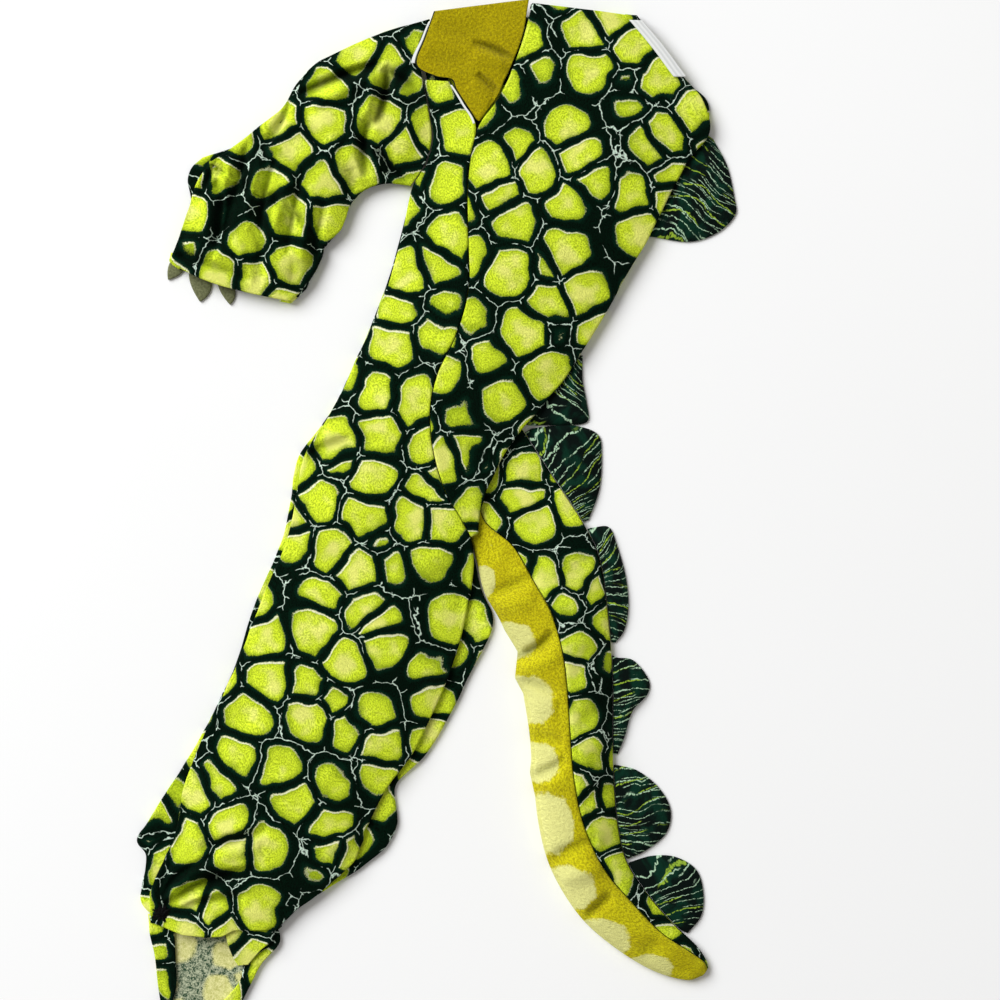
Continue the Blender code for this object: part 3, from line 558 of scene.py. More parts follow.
def platePlush():
    finish = {"Roughness": 0.9, "Sheen Weight": 0.03, "Sheen Roughness": 0.4, "Specular IOR Level": 0.08}
    material, tree, shader = newMaterial("platePlush", finish)
    flat = cutPlace(tree)
    nap = noise(tree, flat, plateLook["nap"], 3)
    wave = swing(tree, noise(tree, flat, plateLook["wave"][0], 1.0), plateLook["wave"][1])
    kink = swing(tree, noise(tree, flat, plateLook["kink"][0], 1.5), plateLook["kink"][1])
    across = addNode(tree, "SeparateXYZ", {0: flat}).outputs[1]
    across = plus(tree, across, plus(tree, wave, kink))
    broad = ramp(tree, noise(tree, flat, 60, 3), 0.42, 0.68)
    colour = blendColour(tree, broad, plateLook["ground"], plateLook["groundLight"])
    for close, wander, seed, wide, tint in plateLook["streaks"]:
        stray = noise(tree, vector(tree, "ADD", flat, (seed, 0, 0)), wander, 1.5)
        phase = plus(tree, times(tree, across, close), times(tree, stray, plateLook["stray"]))
        line = ramp(tree, calc(tree, "PINGPONG", phase, 0.5), wide, wide * plateLook["soft"], 1, 0)
        broken = noise(tree, vector(tree, "ADD", flat, (seed, 1.0, 0)), 26, 1.0)
        broken = times(tree, ramp(tree, broken, 0.42, 0.50), ramp(tree, nap, 0.34, 0.52))
        colour = blendColour(tree, times(tree, line, broken), colour, plateLook[tint])
    wearColour(tree, shader, colour, nap, plateLook["relief"])
    return material


clawFelt = {
    "name": "clawFelt",
    "light": (0.17, 0.18, 0.085),
    "dark": (0.10, 0.11, 0.045),
    "fibres": 420,
    "relief": 0.0004,
    "finish": {"Roughness": 0.8, "Sheen Weight": 0.1, "Specular IOR Level": 0.3},
}
gatherThread = {
    "name": "gatherThread",
    "light": (0.006, 0.0055, 0.006),
    "dark": (0.002, 0.002, 0.002),
    "fibres": 900,
    "relief": 0.0012,
    "finish": {"Roughness": 0.95, "Sheen Weight": 0.02, "Specular IOR Level": 0.05},
}
tapeLook = {"light": (0.88, 0.89, 0.88), "dark": (0.62, 0.64, 0.64), "ribs": 62.0, "relief": 0.0004}


def plainFelt(look):
    material, tree, shader = newMaterial(look["name"], look["finish"])
    fine = noise(tree, cutPlace(tree), look["fibres"], 3, rough=0.7)
    colour = blendColour(tree, ramp(tree, fine, 0.35, 0.65), look["dark"], look["light"])
    wearColour(tree, shader, colour, fine, look["relief"])
    return material


def ribbedTape(look):
    material, tree, shader = newMaterial("whiteTape", {"Roughness": 0.75, "Specular IOR Level": 0.25})
    flat = cutPlace(tree)
    rib = {"Vector": flat, "Scale": look["ribs"], "Distortion": 0.6}
    rib = addNode(tree, "TexWave", rib, bands_direction="X").outputs[1]
    tone = plus(tree, times(tree, rib, 0.6), times(tree, noise(tree, flat, 1600, 2), 0.4))
    wearColour(tree, shader, blendColour(tree, tone, look["dark"], look["light"]), tone, look["relief"])
    return material


scaleMaterial = scalePlush("scalePlush")
wrongSideMaterial = scalePlush("wrongSide", washed=True)
fleeceMaterial = bellyFleece()
plateMaterial = platePlush()
feltMaterial = plainFelt(clawFelt)
tapeMaterial = ribbedTape(tapeLook)
threadMaterial = plainFelt(gatherThread)
print("stage: materials made")

printed = {"slot": "scale_plush", "material": scaleMaterial}
overBody = {"held": "folded", "restsOn": ["far_body_and_leg"]}
overSleeve = {"restsOn": ["far_sleeve"]}

# The garment across, from its front fold (left) to its back seam (right), as the part's source has it.
# Columns: left, front and back borders of the two near panels, right, how far the far half reaches past
# them, crown and lift
bodyTable = [
    (434, 14, 436, 14, 532, 5, 637, 17, -2, -3, 5, 0),
    (421, 45, 424, 46, 523, 40, 662, 47, -3, -3, 8, 0),
    (424, 80, 450, 82, 511, 73, 685, 78, -3, -2, 11, 0),
    (430, 112, 464, 104, 497, 101, 703, 100, -3, 5, 12, 0),
    (433, 140, 476, 127, 478.5, 127, 710, 131, -3, -3, 13, 0),
    (426, 165, 470, 160, 470.5, 160, 689, 160, -3, -3.4, 14, 0),
    (412, 187, 467, 198, 467.5, 198, 669, 197, -2, -3, 14, 0),
    (401, 240, 468, 245, 468.5, 245, 647, 241, 2, -3, 14, 0),
    (386, 290, 468, 290, 468.5, 290, 620, 287, 2, -1, 14, 0),
    (366, 338, 456, 335, 456.5, 335, 593, 334, 1, -3.5, 14, 0),
    (346, 383, 437, 375, 437.5, 375, 568, 374, 1, -6, 14, 0),
    (326, 420, 430, 412, 430.5, 412, 541, 408, 1, -34, 13, 1.5),
    (304, 456, 433, 452, 433.5, 452, 508, 448, 6, -44, 12, 4.5),
    (296, 495, 445, 492, 445.5, 492, 488, 488, 5, -25.5, 12, 4.5),
    (287, 538, 461, 520, 461.5, 520, 480, 515, 5, -14, 12, 4.5),
    (270, 580, 473, 548, 473.5, 548, 477, 546, 6, -6, 12, 4.5),
    (254, 618, 471, 590, 471, 590, 471, 590, 5, 10, 12, 0),
    (240, 655, 463, 628, 463, 628, 463, 628, 2, 30, 12, 0),
    (226, 688, 450, 672, 450, 672, 450, 672, 1, 22, 12, 0),
    (211, 718, 432, 715, 432, 715, 432, 715, 1, 18, 12, 0),
    (196, 753, 412, 755, 412, 755, 412, 755, 5, 14, 12, 0),
    (183, 788, 388, 786, 388, 786, 388, 786, 15, 8, 12, 0),
    (178, 821, 369, 824, 369, 824, 369, 824, 30, 28, 11, 0),
    (172, 842, 361, 846, 361, 846, 361, 846, 36, 25, 11, 0),
    (165, 857, 352, 864, 352, 864, 352, 864, 20, 14, 11, 0),
    (153, 883, 316, 896, 316, 896, 316, 896, 11, 1, 9, 0),
    (149, 903, 296, 911, 296, 911, 296, 911, 9, -3, 8, 0),
    (151, 921, 277, 929, 277, 929, 277, 929, -4, -4, 6, 0),
]
lastBodyRow = len(bodyTable) - 1
# How far each border is turned under, 1 for a fold and 0 for a seam.
# Columns: row, front panel's left and right, back panel's left and right
turnedTable = np.array([
    (0, 0, 0, 0.1, 1),
    (5.4, 0, 0, 0, 1),
    (6.2, 1, 0, 0, 1),
    (14.8, 1, 0, 0, 1),
    (15.6, 1, 1, 0, 1),
    (27, 1, 1, 0, 1),
], float)
# Creases: from, through and to, then half width, height, and lean to its right
bodyCreases = [
    (158, 914, 198, 884, 262, 868, 7, -11.5, 0.2),
    (160, 906, 176, 878, 214, 856, 5, -8.5, 0.2),
    (170, 914, 205, 900, 246, 896, 5, -7.0, 0),
    (158, 908, 163, 880, 174, 848, 5, -5.5, 0),
    (166, 902, 190, 874, 224, 862, 7, 6.0, 0),
    (176, 908, 210, 892, 262, 884, 7, 4.6, 0),
    (200, 848, 235, 840, 270, 828, 6, -8.0, -0.35),
    (215, 836, 240, 828, 262, 820, 8, 4.0, 0),
    (215, 862, 240, 850, 262, 846, 8, 4.0, 0),
    (176, 850, 180, 822, 186, 795, 6, -5.0, 0.3),
    (367, 811, 362, 840, 350, 862, 6, -5.0, 0.4),
    (352, 858, 340, 820, 330, 788, 12, 2.2, 0),
    (150, 872, 220, 868, 292, 846, 14, -1.6, 0),
    (200, 738, 235, 716, 275, 704, 12, -2.0, 0),
    (298, 458, 322, 447, 352, 438, 6, -6.5, 0.3),
    (316, 436, 335, 434, 362, 428, 7, 3.5, 0),
    (322, 420, 350, 426, 380, 446, 9, -3.0, 0),
    (470, 548, 445, 572, 418, 600, 10, -2.8, 0.2),
    (472, 560, 468, 585, 462, 620, 8, -2.6, 0),
    (455, 662, 420, 645, 378, 640, 13, -2.2, 0),
    (438, 706, 400, 690, 360, 690, 12, -1.8, 0),
    (405, 250, 420, 232, 442, 214, 9, -2.6, 0.2),
    (398, 275, 425, 268, 455, 262, 12, -1.4, 0),
    (690, 165, 660, 172, 625, 168, 12, -2.2, 0.2),
    (700, 140, 672, 140, 640, 128, 11, -1.8, 0),
    (620, 285, 590, 280, 560, 268, 12, -1.6, 0),
    (560, 60, 575, 40, 595, 25, 12, -1.5, 0),
    (250, 620, 290, 640, 330, 650, 15, -1.6, 0),
    (270, 575, 310, 560, 350, 560, 14, -1.8, 0),
    (480, 380, 500, 400, 512, 430, 12, -1.6, 0),
    (300, 500, 350, 515, 400, 510, 16, 1.5, 0),
    (230, 780, 280, 760, 330, 770, 16, -1.6, 0),
    (445, 440, 452, 480, 468, 515, 9, -1.8, 0),
]
body = {
    "borderFade": 10.0,  # the creases fade out this close to a border
    "lumps": [(1.5, 48, 3), (0.6, 19, 5)],
    "fullShadeDepth": 11.0,  # a trough this deep gets the darkest painted shade
}


def bodySection(row):
    section = smoothRows(bodyTable, row)[0]
    turned = [np.interp(row, turnedTable[:, 0], turnedTable[:, k]) for k in range(1, 5)]
    return section, turned


def bodyHeight(section, folded=True):
    start, end = section[0:2], section[6:8]
    length = np.linalg.norm(end - start)

    def heightOf(s, xy, width):
        share = np.linalg.norm(xy - start, axis=-1) / length
        z = cloth["edgeTop"] + section[10] * dome(share) + section[11] * np.clip(share, 0, 1) ** 3
        if folded:
            held = inside(share * length, length, body["borderFade"])
            z = z + rumpled(xy, bodyCreases, body["lumps"]) * held
        return z

    return heightOf


def wavered(point, row, seed):
    # a border's place with the small strays of soft plush
    along = row * 30.0
    return point + cloth["waver"] * np.array([uneven([along, 0], 12, seed), uneven([0, along], 12, seed + 1)])


frontPanel = {
    **printed,
    **overBody,
    "name": "frontLegPanel",
    "node": "near_front_leg_panel",
    "turn": 8,
    "shift": (0.20, 0.35),
    "rows": 300,
    "columns": 84,
    "firstRow": 2.0,
    "freeFrom": 15,  # row from which its right border is a fold
    "bowFrom": 25.6,  # row from which the hem's bow draws the cloth down
    "bowRows": 1.4,
    "hemRadius": 1.8,
    "hemTuck": 5,
}
# The sag of the hem at the ankle: share across, and how far down
ankleBow = [(0, 0), (0.12, 5), (0.24, 10), (0.42, 11), (0.56, 9), (0.66, 2), (1, 0)]


def nearFrontLegPanel(look):
    def rowOf(row):
        section, turned = bodySection(row)
        left, border = wavered(section[0:2], row, 11), section[2:4]
        if row > look["freeFrom"]:
            border = wavered(border, row, 21)
        sag = max(0.0, (row - look["bowFrom"]) / look["bowRows"]) ** 1.5

        def bend(share):
            bow = np.interp(share, *zip(*ankleBow))
            return np.column_stack([bow * 0.1 * sag, bow * sag])

        return clothRow(left, border, turned[:2], bodyHeight(section), look["columns"], bend)

    rows = np.linspace(look["firstRow"], lastBodyRow, look["rows"])
    places, flats = turnEnd(*stacked(rows, rowOf), look["hemRadius"], look["hemTuck"])
    layCloth(look, places, flats, {"fold": foldShadeMask(places, bodyCreases, body["fullShadeDepth"])})


backPanel = {
    **printed,
    **overBody,
    "name": "backPanel",
    "node": "near_back_panel",
    "turn": -24,
    "shift": (2.45, 0.62),
    "rows": 165,
    "columns": 88,
    "lastRow": 14.65,
    "neckRows": 2,  # above this row it has no front panel beside it
    "hemRadius": 1.6,
    "hemTuck": 4,
}


def nearBackPanel(look):
    def rowOf(row):
        section, turned = bodySection(row)
        gap = cloth["seamGap"] if row > look["neckRows"] else 0.0
        start, end = section[4:6] + [gap, 0], wavered(section[6:8], row, 31)
        return clothRow(start, end, turned[2:], bodyHeight(section), look["columns"])

    rows = np.linspace(0, look["lastRow"], look["rows"])
    places, flats = turnEnd(*stacked(rows, rowOf), look["hemRadius"], look["hemTuck"], last=False)
    layCloth(look, places, flats, {"fold": foldShadeMask(places, bodyCreases, body["fullShadeDepth"])})


farCore = {
    "flatTo": 11.5,  # the borders stay low this far in
    "from": 12.5,  # where the pile inside them starts
    "least": 13.5,  # the same, from the near half's border
    "lumps": (14, 8),
    "lumpHeight": 0.35,
}


def farRow(start, end, before, after, heightOf, columns, bend=None):
    # the layers underneath in one row: round borders as thick as the far half, and the pile inside them
    start, end = np.array(start, float), np.array(end, float)
    width = np.linalg.norm(end - start)
    way = (end - start) / width
    half = cloth["farEdge"] / 2
    first, last = -before, width + after
    arc = np.linspace(0, math.pi / 2, 6)
    lip, rise = half * (1 - np.cos(arc)), half * np.sin(arc)
    low = np.linspace(half, farCore["flatTo"], 5)[1:]
    coreStart, coreEnd = first + farCore["from"], last - farCore["from"]
    core = np.linspace(max(farCore["least"], coreStart), min(width - farCore["least"], coreEnd), columns)
    s = np.concatenate([first + lip, first + low, core, last - low[::-1], last - lip[::-1]])
    level, edge = np.full(len(low), 2 * half), len(lip) + len(low)
    top = np.concatenate([half + rise, level, np.zeros(columns), level, half + rise[::-1]])
    bottom = np.concatenate([half - rise, np.zeros(2 * len(low) + columns), half - rise[::-1]])
    xy = start + np.outer(s, way)
    if bend:
        xy = xy + bend(s / width)
    inner = slice(edge, edge + columns)
    top[inner] = np.maximum(heightOf(s[inner], xy[inner], width) - cloth["coreDrop"], 2 * half)
    for border in (slice(None, edge), slice(-edge, None)):
        top[border] += farCore["lumpHeight"] * uneven(xy[border], *farCore["lumps"])
    return np.column_stack([xy, top]), np.column_stack([xy, np.minimum(bottom, top)])


farHalf = {
    **printed,
    "name": "farBodyLeg",
    "node": "far_body_and_leg",
    "held": "folded",
    "turn": 35,
    "shift": (2.10, 0.60),
    "rows": 280,
    "columns": 22,
    "hemRows": 0.42,  # how far it ends above the near half's hem
    "facingEnds": (540, 128),  # the facing lies left of and above this place
    "overFacing": 4.0,
}


def farBodyAndLeg(look):
    def rowOf(row):
        section, _ = bodySection(row)
        heightOf = bodyHeight(section, folded=False)

        def pile(s, xy, width):
            right, low = look["facingEnds"]
            covered = (xy[:, 1] < low) & (xy[:, 0] < right)
            limit = np.where(covered, facingTop(xy[:, 1]) + look["overFacing"], np.inf)
            return np.minimum(heightOf(s, xy, width), limit)

        left, right = wavered(section[0:2], row, 41), wavered(section[6:8], row, 51)
        return farRow(left, right, section[8], section[9], pile, look["columns"])

    closedCloth(look, *stacked(np.linspace(0, lastBodyRow - look["hemRows"], look["rows"]), rowOf))


# The near sleeve from the armhole to the wrist elastic. Columns: top, low, far half past them, crown
sleeveTable = [
    (429, 19, 411, 186, -4, -2, 1.5),
    (400, 27, 392, 184, -2, -2, 7.5),
    (370, 37, 374, 186, -2, -3, 12),
    (342, 50, 360, 194, -2, -2, 13),
    (316, 64, 351, 204, -2, -2, 13),
    (297, 83, 346, 217, -2, -2, 13),
    (283, 106, 341, 229, -1, -2, 12),
    (258, 127, 334, 237, -1, -2, 11),
    (232, 147, 329, 242, 0, -2, 8),
    (208, 161, 325, 246, 8, -2, 3),
]
armhole = [(429, 19), (418, 50), (422.5, 80), (428.5, 112), (431.5, 140), (424.5, 165), (411, 186)]
handTable = [
    (206.8, 163, 324, 247.6, 12, -2, 3),
    (196, 183, 322, 257, 10, -3, 8),
    (188, 209, 315, 272, -3, -2, 10),
    (179, 236, 305, 287, -3, 1, 9),
    (171, 258, 291, 300, -8, 3, 5),
]
sleeveCreases = [
    (300, 94, 334, 77, 383, 62, 5.0, -12.5, 0.45),
    (310, 108, 344, 92, 374, 80, 8, 9.0, 0),
    (386, 66, 384, 92, 374, 126, 4.8, -12.5, -0.4),
    (372, 74, 371, 98, 364, 122, 6.5, 9.0, 0),
    (380, 70, 400, 76, 421, 93, 5, -9.0, 0.3),
    (392, 88, 402, 96, 412, 112, 9, 4.5, 0),
    (286, 96, 282, 122, 260, 150, 5, -9.0, 0.3),
    (300, 104, 290, 126, 276, 148, 9, 4.0, 0),
    (310, 66, 330, 56, 356, 48, 8, 2.5, 0),
    (372, 118, 364, 142, 366, 178, 5, -10.0, 0),
    (356, 130, 350, 150, 352, 170, 8, 4.0, 0),
    (378, 148, 390, 164, 408, 182, 5, -9.0, 0.2),
    (384, 160, 378, 170, 380, 182, 5, 4.0, 0),
    (408, 98, 410, 128, 402, 158, 12, 4.0, 0),
    (338, 148, 350, 170, 352, 198, 7, -5.0, 0),
    (290, 112, 306, 132, 330, 142, 9, -4.5, 0),
    (270, 140, 295, 165, 312, 187, 8, -4.5, 0),
    (318, 112, 330, 130, 352, 148, 10, 4.0, 0),
    (250, 132, 262, 150, 268, 172, 6, -5.0, 0.2),
]
wristLine = [(208, 162), (232, 178), (257, 194), (281, 204), (306, 224), (325, 247)]  # where the elastic runs
wristGathers = [  # puckers drawn up by the elastic
    (203, 164, 236, 178, 268, 202, 4.5, -7.5, 0),
    (252, 192, 286, 206, 326, 248, 4.5, -7.5, 0),
    (222, 134, 212, 168, 198, 198, 4.0, -6.5, 0.2),
    (236, 142, 227, 174, 218, 206, 5.0, 5.6, 0),
    (248, 140, 238, 182, 224, 216, 3.8, -8.0, 0),
    (264, 154, 252, 192, 246, 222, 5.0, 6.0, 0),
    (278, 158, 264, 198, 262, 240, 3.8, -8.0, 0.2),
    (292, 172, 280, 208, 272, 240, 5.5, 5.4, 0),
    (304, 174, 292, 218, 288, 256, 4.0, -8.0, 0),
    (316, 196, 306, 230, 302, 262, 5.0, 5.0, 0),
    (326, 202, 317, 236, 312, 270, 4.0, -6.0, 0),
]
handCreases = [
    (214, 180, 222, 206, 212, 264, 4.5, -9.5, 0.3),
    (204, 200, 209, 222, 203, 250, 8, 5.0, 0),
    (236, 196, 229, 212, 224, 236, 4.5, -7.5, -0.2),
    (174, 254, 204, 263, 252, 282, 4.5, -7.5, -0.3),
    (184, 240, 206, 250, 236, 258, 8, 4.5, 0),
    (250, 228, 262, 250, 256, 286, 6, -5.5, 0),
    (236, 240, 242, 256, 238, 268, 7, 4.0, 0),
    (284, 214, 288, 228, 284, 252, 5, -5.5, 0),
    (310, 238, 316, 252, 308, 276, 5, -6.5, 0.2),
    (262, 258, 276, 268, 292, 272, 12, 4.0, 0),
    (190, 196, 184, 214, 182, 234, 6, -4.5, 0),
]
sleeveFolds = {
    "borderFade": 9.0,
    "lumps": [(0.7, 26, 13), (0.4, 11, 15)],
    "fullShadeDepth": 9.0,
    "armholeRows": 2.6,  # rows over which the armhole's curve goes straight
    "hemBow": 8.0,
    "hemWay": (-0.33, 0.94),
    "elasticStray": 1.5,
    "elasticWay": (-0.6, 0.8),
}


def armholeBend(share, row):
    share = np.clip(share, 0, 1)
    curve = smoothRows(armhole, share * (len(armhole) - 1))
    straight = np.array(armhole[0], float) + np.outer(share, np.subtract(armhole[-1], armhole[0]))
    return (curve - straight) * max(0.0, 1 - row / sleeveFolds["armholeRows"]) ** 2


def hemBend(share, row):
    depth = sleeveFolds["hemBow"] * (row / (len(handTable) - 1)) ** 3
    lean = np.sin(math.pi * np.clip(share, 0, 1) ** 0.7)
    return np.outer(depth * lean, sleeveFolds["hemWay"])


def wristBend(share, fade):
    # moves a row onto the elastic's wavering line
    share = np.clip(share, 0, 1)
    line = smoothRows(wristLine, share * (len(wristLine) - 1))
    start, end = sleeveTable[-1][0:2], sleeveTable[-1][2:4]
    straight = np.array(start, float) + np.outer(share, np.subtract(end, start))
    stray = sleeveFolds["elasticStray"] * uneven(np.column_stack([share * 117, share * 0]), 9, 19)
    return (line - straight + np.outer(stray, sleeveFolds["elasticWay"])) * fade


def sleeveHeight(section, creases, folded=True):
    def heightOf(s, xy, width):
        z = cloth["edgeTop"] + section[6] * dome(s / width)
        if folded:
            z = z + rumpled(xy, creases, sleeveFolds["lumps"]) * inside(s, width, sleeveFolds["borderFade"])
        return np.maximum(z, cloth["leastHeight"])

    return heightOf


sleeve = {
    **printed,
    **overSleeve,
    "name": "sleeveNear",
    "node": "near_sleeve",
    "held": "folded",
    "turn": 62,
    "shift": (3.05, 1.20),  # the same as its neighbour's across the elastic
    "rows": 125,
    "columns": 86,
    "elasticFrom": 6.5,  # row from which the cloth is drawn to the elastic's line
    "elasticRows": 2.5,
}


def nearSleeve(look):
    creases = sleeveCreases + wristGathers

    def rowOf(row):
        section = smoothRows(sleeveTable, row)[0]
        start, end = wavered(section[0:2], row, 61), wavered(section[2:4], row, 71)
        drawn = max(0, row - look["elasticFrom"]) / look["elasticRows"]
        turned = min(1.0, 0.4 + row)

        def bend(share):
            return armholeBend(share, row) + wristBend(share, drawn)

        return clothRow(start, end, (turned, turned), sleeveHeight(section, creases), look["columns"], bend)

    places, flats = stacked(np.linspace(0, len(sleeveTable) - 1, look["rows"]), rowOf)
    layCloth(look, places, flats, {"fold": foldShadeMask(places, creases, sleeveFolds["fullShadeDepth"])})


handCover = {
    **printed,
    **overSleeve,
    "name": "handCoverNear",
    "node": "near_hand_cover",
    "held": "gathered",
    "turn": 62,
    "shift": (3.05, 1.20),  # the same as its neighbour's across the elastic
    "rows": 66,
    "columns": 86,
    "firstRow": -0.2,
    "elasticRows": 1.5,
    "underRows": 0.25,  # its start goes under the sleeve's end over these rows
    "underLeast": 6.5,
    "underDrop": 1.9,
    "hemRadius": 2.0,
    "hemTuck": 6,
}


def nearHandCover(look):
    creases = handCreases + wristGathers

    def rowOf(row):
        section = smoothRows(handTable, row)[0]
        start, end = wavered(section[0:2], row, 81), wavered(section[2:4], row, 91)
        drawn = min(1, max(0, look["elasticRows"] - row) / look["elasticRows"])

        def bend(share):
            return hemBend(share, max(row, 0)) + wristBend(share, drawn)

        place, flat = clothRow(start, end, (1, 1), sleeveHeight(section, creases), look["columns"], bend)
        drop = np.clip(place[:, 2] - look["underLeast"], 0, look["underDrop"])
        place[:, 2] -= drop * np.clip(look["underRows"] - row, 0, look["underRows"]) / look["underRows"]
        return place, flat

    rows = np.linspace(look["firstRow"], len(handTable) - 1, look["rows"])
    places, flats = turnEnd(*stacked(rows, rowOf), look["hemRadius"], look["hemTuck"])
    layCloth(look, places, flats, {"fold": foldShadeMask(places, creases, sleeveFolds["fullShadeDepth"])})


farArm = {
    **printed,
    "name": "sleeveFar",
    "node": "far_sleeve",
    "held": "folded",
    "turn": -40,
    "shift": (5.20, 0.80),
    "columns": 20,
    "sleeveRows": (0.9, 9, 90),
    "handRows": (0.4, 3.84, 40),
}


def farSleeve(look):
    def rowOf(spot):
        table, bendOf, row = spot
        section = smoothRows(table, row)[0]
        start, end = wavered(section[0:2], row, 101), wavered(section[2:4], row, 111)
        heightOf = sleeveHeight(section, [], folded=False)

        def bend(share):
            return bendOf(share, row)

        return farRow(start, end, section[4], section[5], heightOf, look["columns"], bend)

    spots = [(sleeveTable, armholeBend, row) for row in np.linspace(*look["sleeveRows"])]
    spots += [(handTable, hemBend, row) for row in np.linspace(*look["handRows"])]
    closedCloth(look, *stacked(spots, rowOf))


# The yellow facing turned out at the neck. Columns: left border, right border, height
facingTable = [
    (434, 12, 529, 0, 18.0),
    (425, 38, 523, 34, 20.0),
    (416, 65, 514, 60, 21.0),
    (434, 76.5, 508, 74, 20.5),
    (451, 80, 504, 82, 20.0),
    (456, 90, 497, 98, 18.8),
    (467, 107, 487.5, 111, 17.6),
    (475.5, 120, 480, 121.6, 16.8),
]
facingCreases = [
    (472, 43, 498, 50, 534, 72, 3.6, -6.5, 0.4),
    (474, 56, 494, 62, 514, 76, 7, 3.6, 0),
    (478, 74, 490, 84, 504, 98, 3.6, -4.6, 0.3),
    (470, 84, 480, 94, 490, 106, 6, 2.0, 0),
    (436, 24, 462, 32, 490, 26, 12, -1.8, 0),
    (430, 52, 448, 60, 470, 62, 10, -1.8, 0),
]
neck = {
    **overBody,
    "name": "neckFacing",
    "node": "neck_facing",
    "slot": "belly_fleece",
    "material": fleeceMaterial,
    "shift": (6.0, 0.0),
    "rows": 100,
    "columns": 84,
    "thick": 2.0,
    "lumps": [(0.35, 20, 17)],
    "fadeShare": 0.12,  # share across over which the creases fade at a border
    "borderDrop": 0.9,
    "lip": 0.8,
    "lipWidth": 1.2,
    "bindingWidth": 1.2,
    "fullShadeDepth": 7.0,
}


def facingTop(y):
    rows = [((r[1] + r[3]) / 2, r[4]) for r in facingTable]
    return np.interp(y, [r[0] for r in rows], [r[1] for r in rows])


def neckFacing(look):
    def rowOf(row):
        section = smoothRows(facingTable, row)[0]
        share = (1 - np.cos(np.linspace(0, math.pi, look["columns"]))) / 2
        share = 0.5 * share + 0.5 * np.linspace(0, 1, look["columns"])
        xy = section[0:2] + np.outer(share, section[2:4] - section[0:2])
        side = np.minimum(share, 1 - share)
        held = np.clip(side / look["fadeShare"], 0, 1)
        z = facingTop(xy[:, 1]) - look["borderDrop"] * np.abs(2 * share - 1) ** 3
        z = z + rumpled(xy, facingCreases, look["lumps"]) * held
        edge = side * np.linalg.norm(section[2:4] - section[0:2])
        lip = look["lip"] * (1 - np.clip(edge / look["lipWidth"], 0, 1)) ** 2
        return np.column_stack([xy, z - lip]), np.column_stack([xy, z - look["thick"] + lip])

    tops, bottoms = stacked(np.linspace(0, len(facingTable) - 1, look["rows"]), rowOf)
    edge = np.linalg.norm(tops[:, :, :2] - tops[:, :1, :2], axis=-1)
    marks = {
        "pale": 0 * edge,
        "binding": np.clip(1.5 - edge / look["bindingWidth"], 0, 1),
        "bright": 0 * edge,
        "fold": foldShadeMask(tops, facingCreases, look["fullShadeDepth"]),
    }
    marks = {label: capped(around(mark, mark)) for label, mark in marks.items()}
    closedCloth(look, tops, bottoms, marks)


# The tail. Columns: the belly's fold at the left, its seam to the sides, the back at the right, the height
tailTable = [
    (463, 492, 478, 474, 516, 419, 8.8),
    (468, 527, 483, 518, 546, 466, 9.0),
    (477, 563, 513, 546, 584, 524, 13.5),
    (484, 592, 533, 580, 600, 560, 21.0),
    (499, 620, 551, 612, 607, 603, 25.0),
    (513, 655, 562, 650, 611, 643, 28.0),
    (520, 690, 567, 688, 613, 685, 30.0),
    (529, 735, 570, 735, 613, 735, 30.0),
    (533, 780, 574, 780, 614, 778, 30.0),
    (539, 828, 584, 825, 618, 826, 29.0),
    (552, 872, 604, 868, 627, 862, 28.0),
    (579, 916, 632, 902, 648, 895, 25.0),
    (613, 947, 661, 932, 674, 925, 21.0),
    (652, 971, 689, 951, 696, 946, 16.0),
    (686, 981, 704, 962, 706, 960, 11.0),
    (703, 977, 708, 970, 709, 969, 8.0),
]
tail = {
    "roll": 5.0,  # radius that the belly's left side rolls round
    "edge": 6.6,  # height at the right border
    "seamGap": 0.8,
    "rows": 230,
    "farRise": 1.6,
    "hidden": 0.9,  # share of the belly from which it is seen no more, underneath
    "borderFade": 12,
    "lumps": [(0.4, 15, 23)],
    "seamDip": 1.2,
    "seamWidth": 1.8,
    "fullShadeDepth": 13.0,
    "rowLength": 34.5,  # of the flat cut
    "bright": 0.85,
    "rollShares": (0.45, 0.4),  # most that the roll takes of the height and of the belly's width
    "crestShift": 0.85,
    "crestPower": 0.75,
    "patchPower": 2.2,
    "patchFade": (3.1, 2.6),
}
tailCreases = [
    (506, 656, 530, 650, 554, 630, 5, -10.0, 0.3),
    (508, 668, 532, 664, 558, 654, 8, 5.0, 0),
    (512, 680, 534, 684, 556, 696, 5, -6.0, -0.2),
    (520, 702, 540, 703, 558, 704, 14, 3.5, 0),
    (518, 727, 540, 736, 564, 740, 7, -5.5, 0),
    (524, 772, 546, 769, 566, 756, 5, -7.0, 0.2),
    (526, 788, 548, 785, 568, 778, 8, 4.0, 0),
    (540, 866, 568, 848, 598, 838, 6, -6.0, 0.2),
    (548, 884, 574, 874, 602, 866, 8, 4.0, 0),
    (578, 926, 598, 904, 612, 892, 5, -7.0, 0.2),
    (490, 594, 510, 587, 532, 576, 6, -5.5, 0),
    (490, 608, 512, 603, 536, 598, 8, 3.5, 0),
    (478, 524, 492, 540, 512, 556, 7, 1.8, 0),
    (640, 962, 650, 948, 662, 938, 8, -3.0, 0),
    (600, 640, 585, 660, 572, 690, 10, -2.6, 0),
    (608, 700, 594, 712, 578, 720, 8, -2.8, 0),
    (612, 730, 596, 744, 578, 750, 9, 2.2, 0),
    (614, 780, 598, 792, 582, 800, 8, -2.8, 0),
    (616, 840, 606, 846, 596, 858, 8, -2.4, 0),
    (560, 470, 545, 500, 520, 530, 9, -2.4, 0),
    (590, 550, 575, 570, 550, 590, 9, -2.4, 0),
    (536, 480, 546, 470, 552, 446, 8, -3.0, 0.2),
]
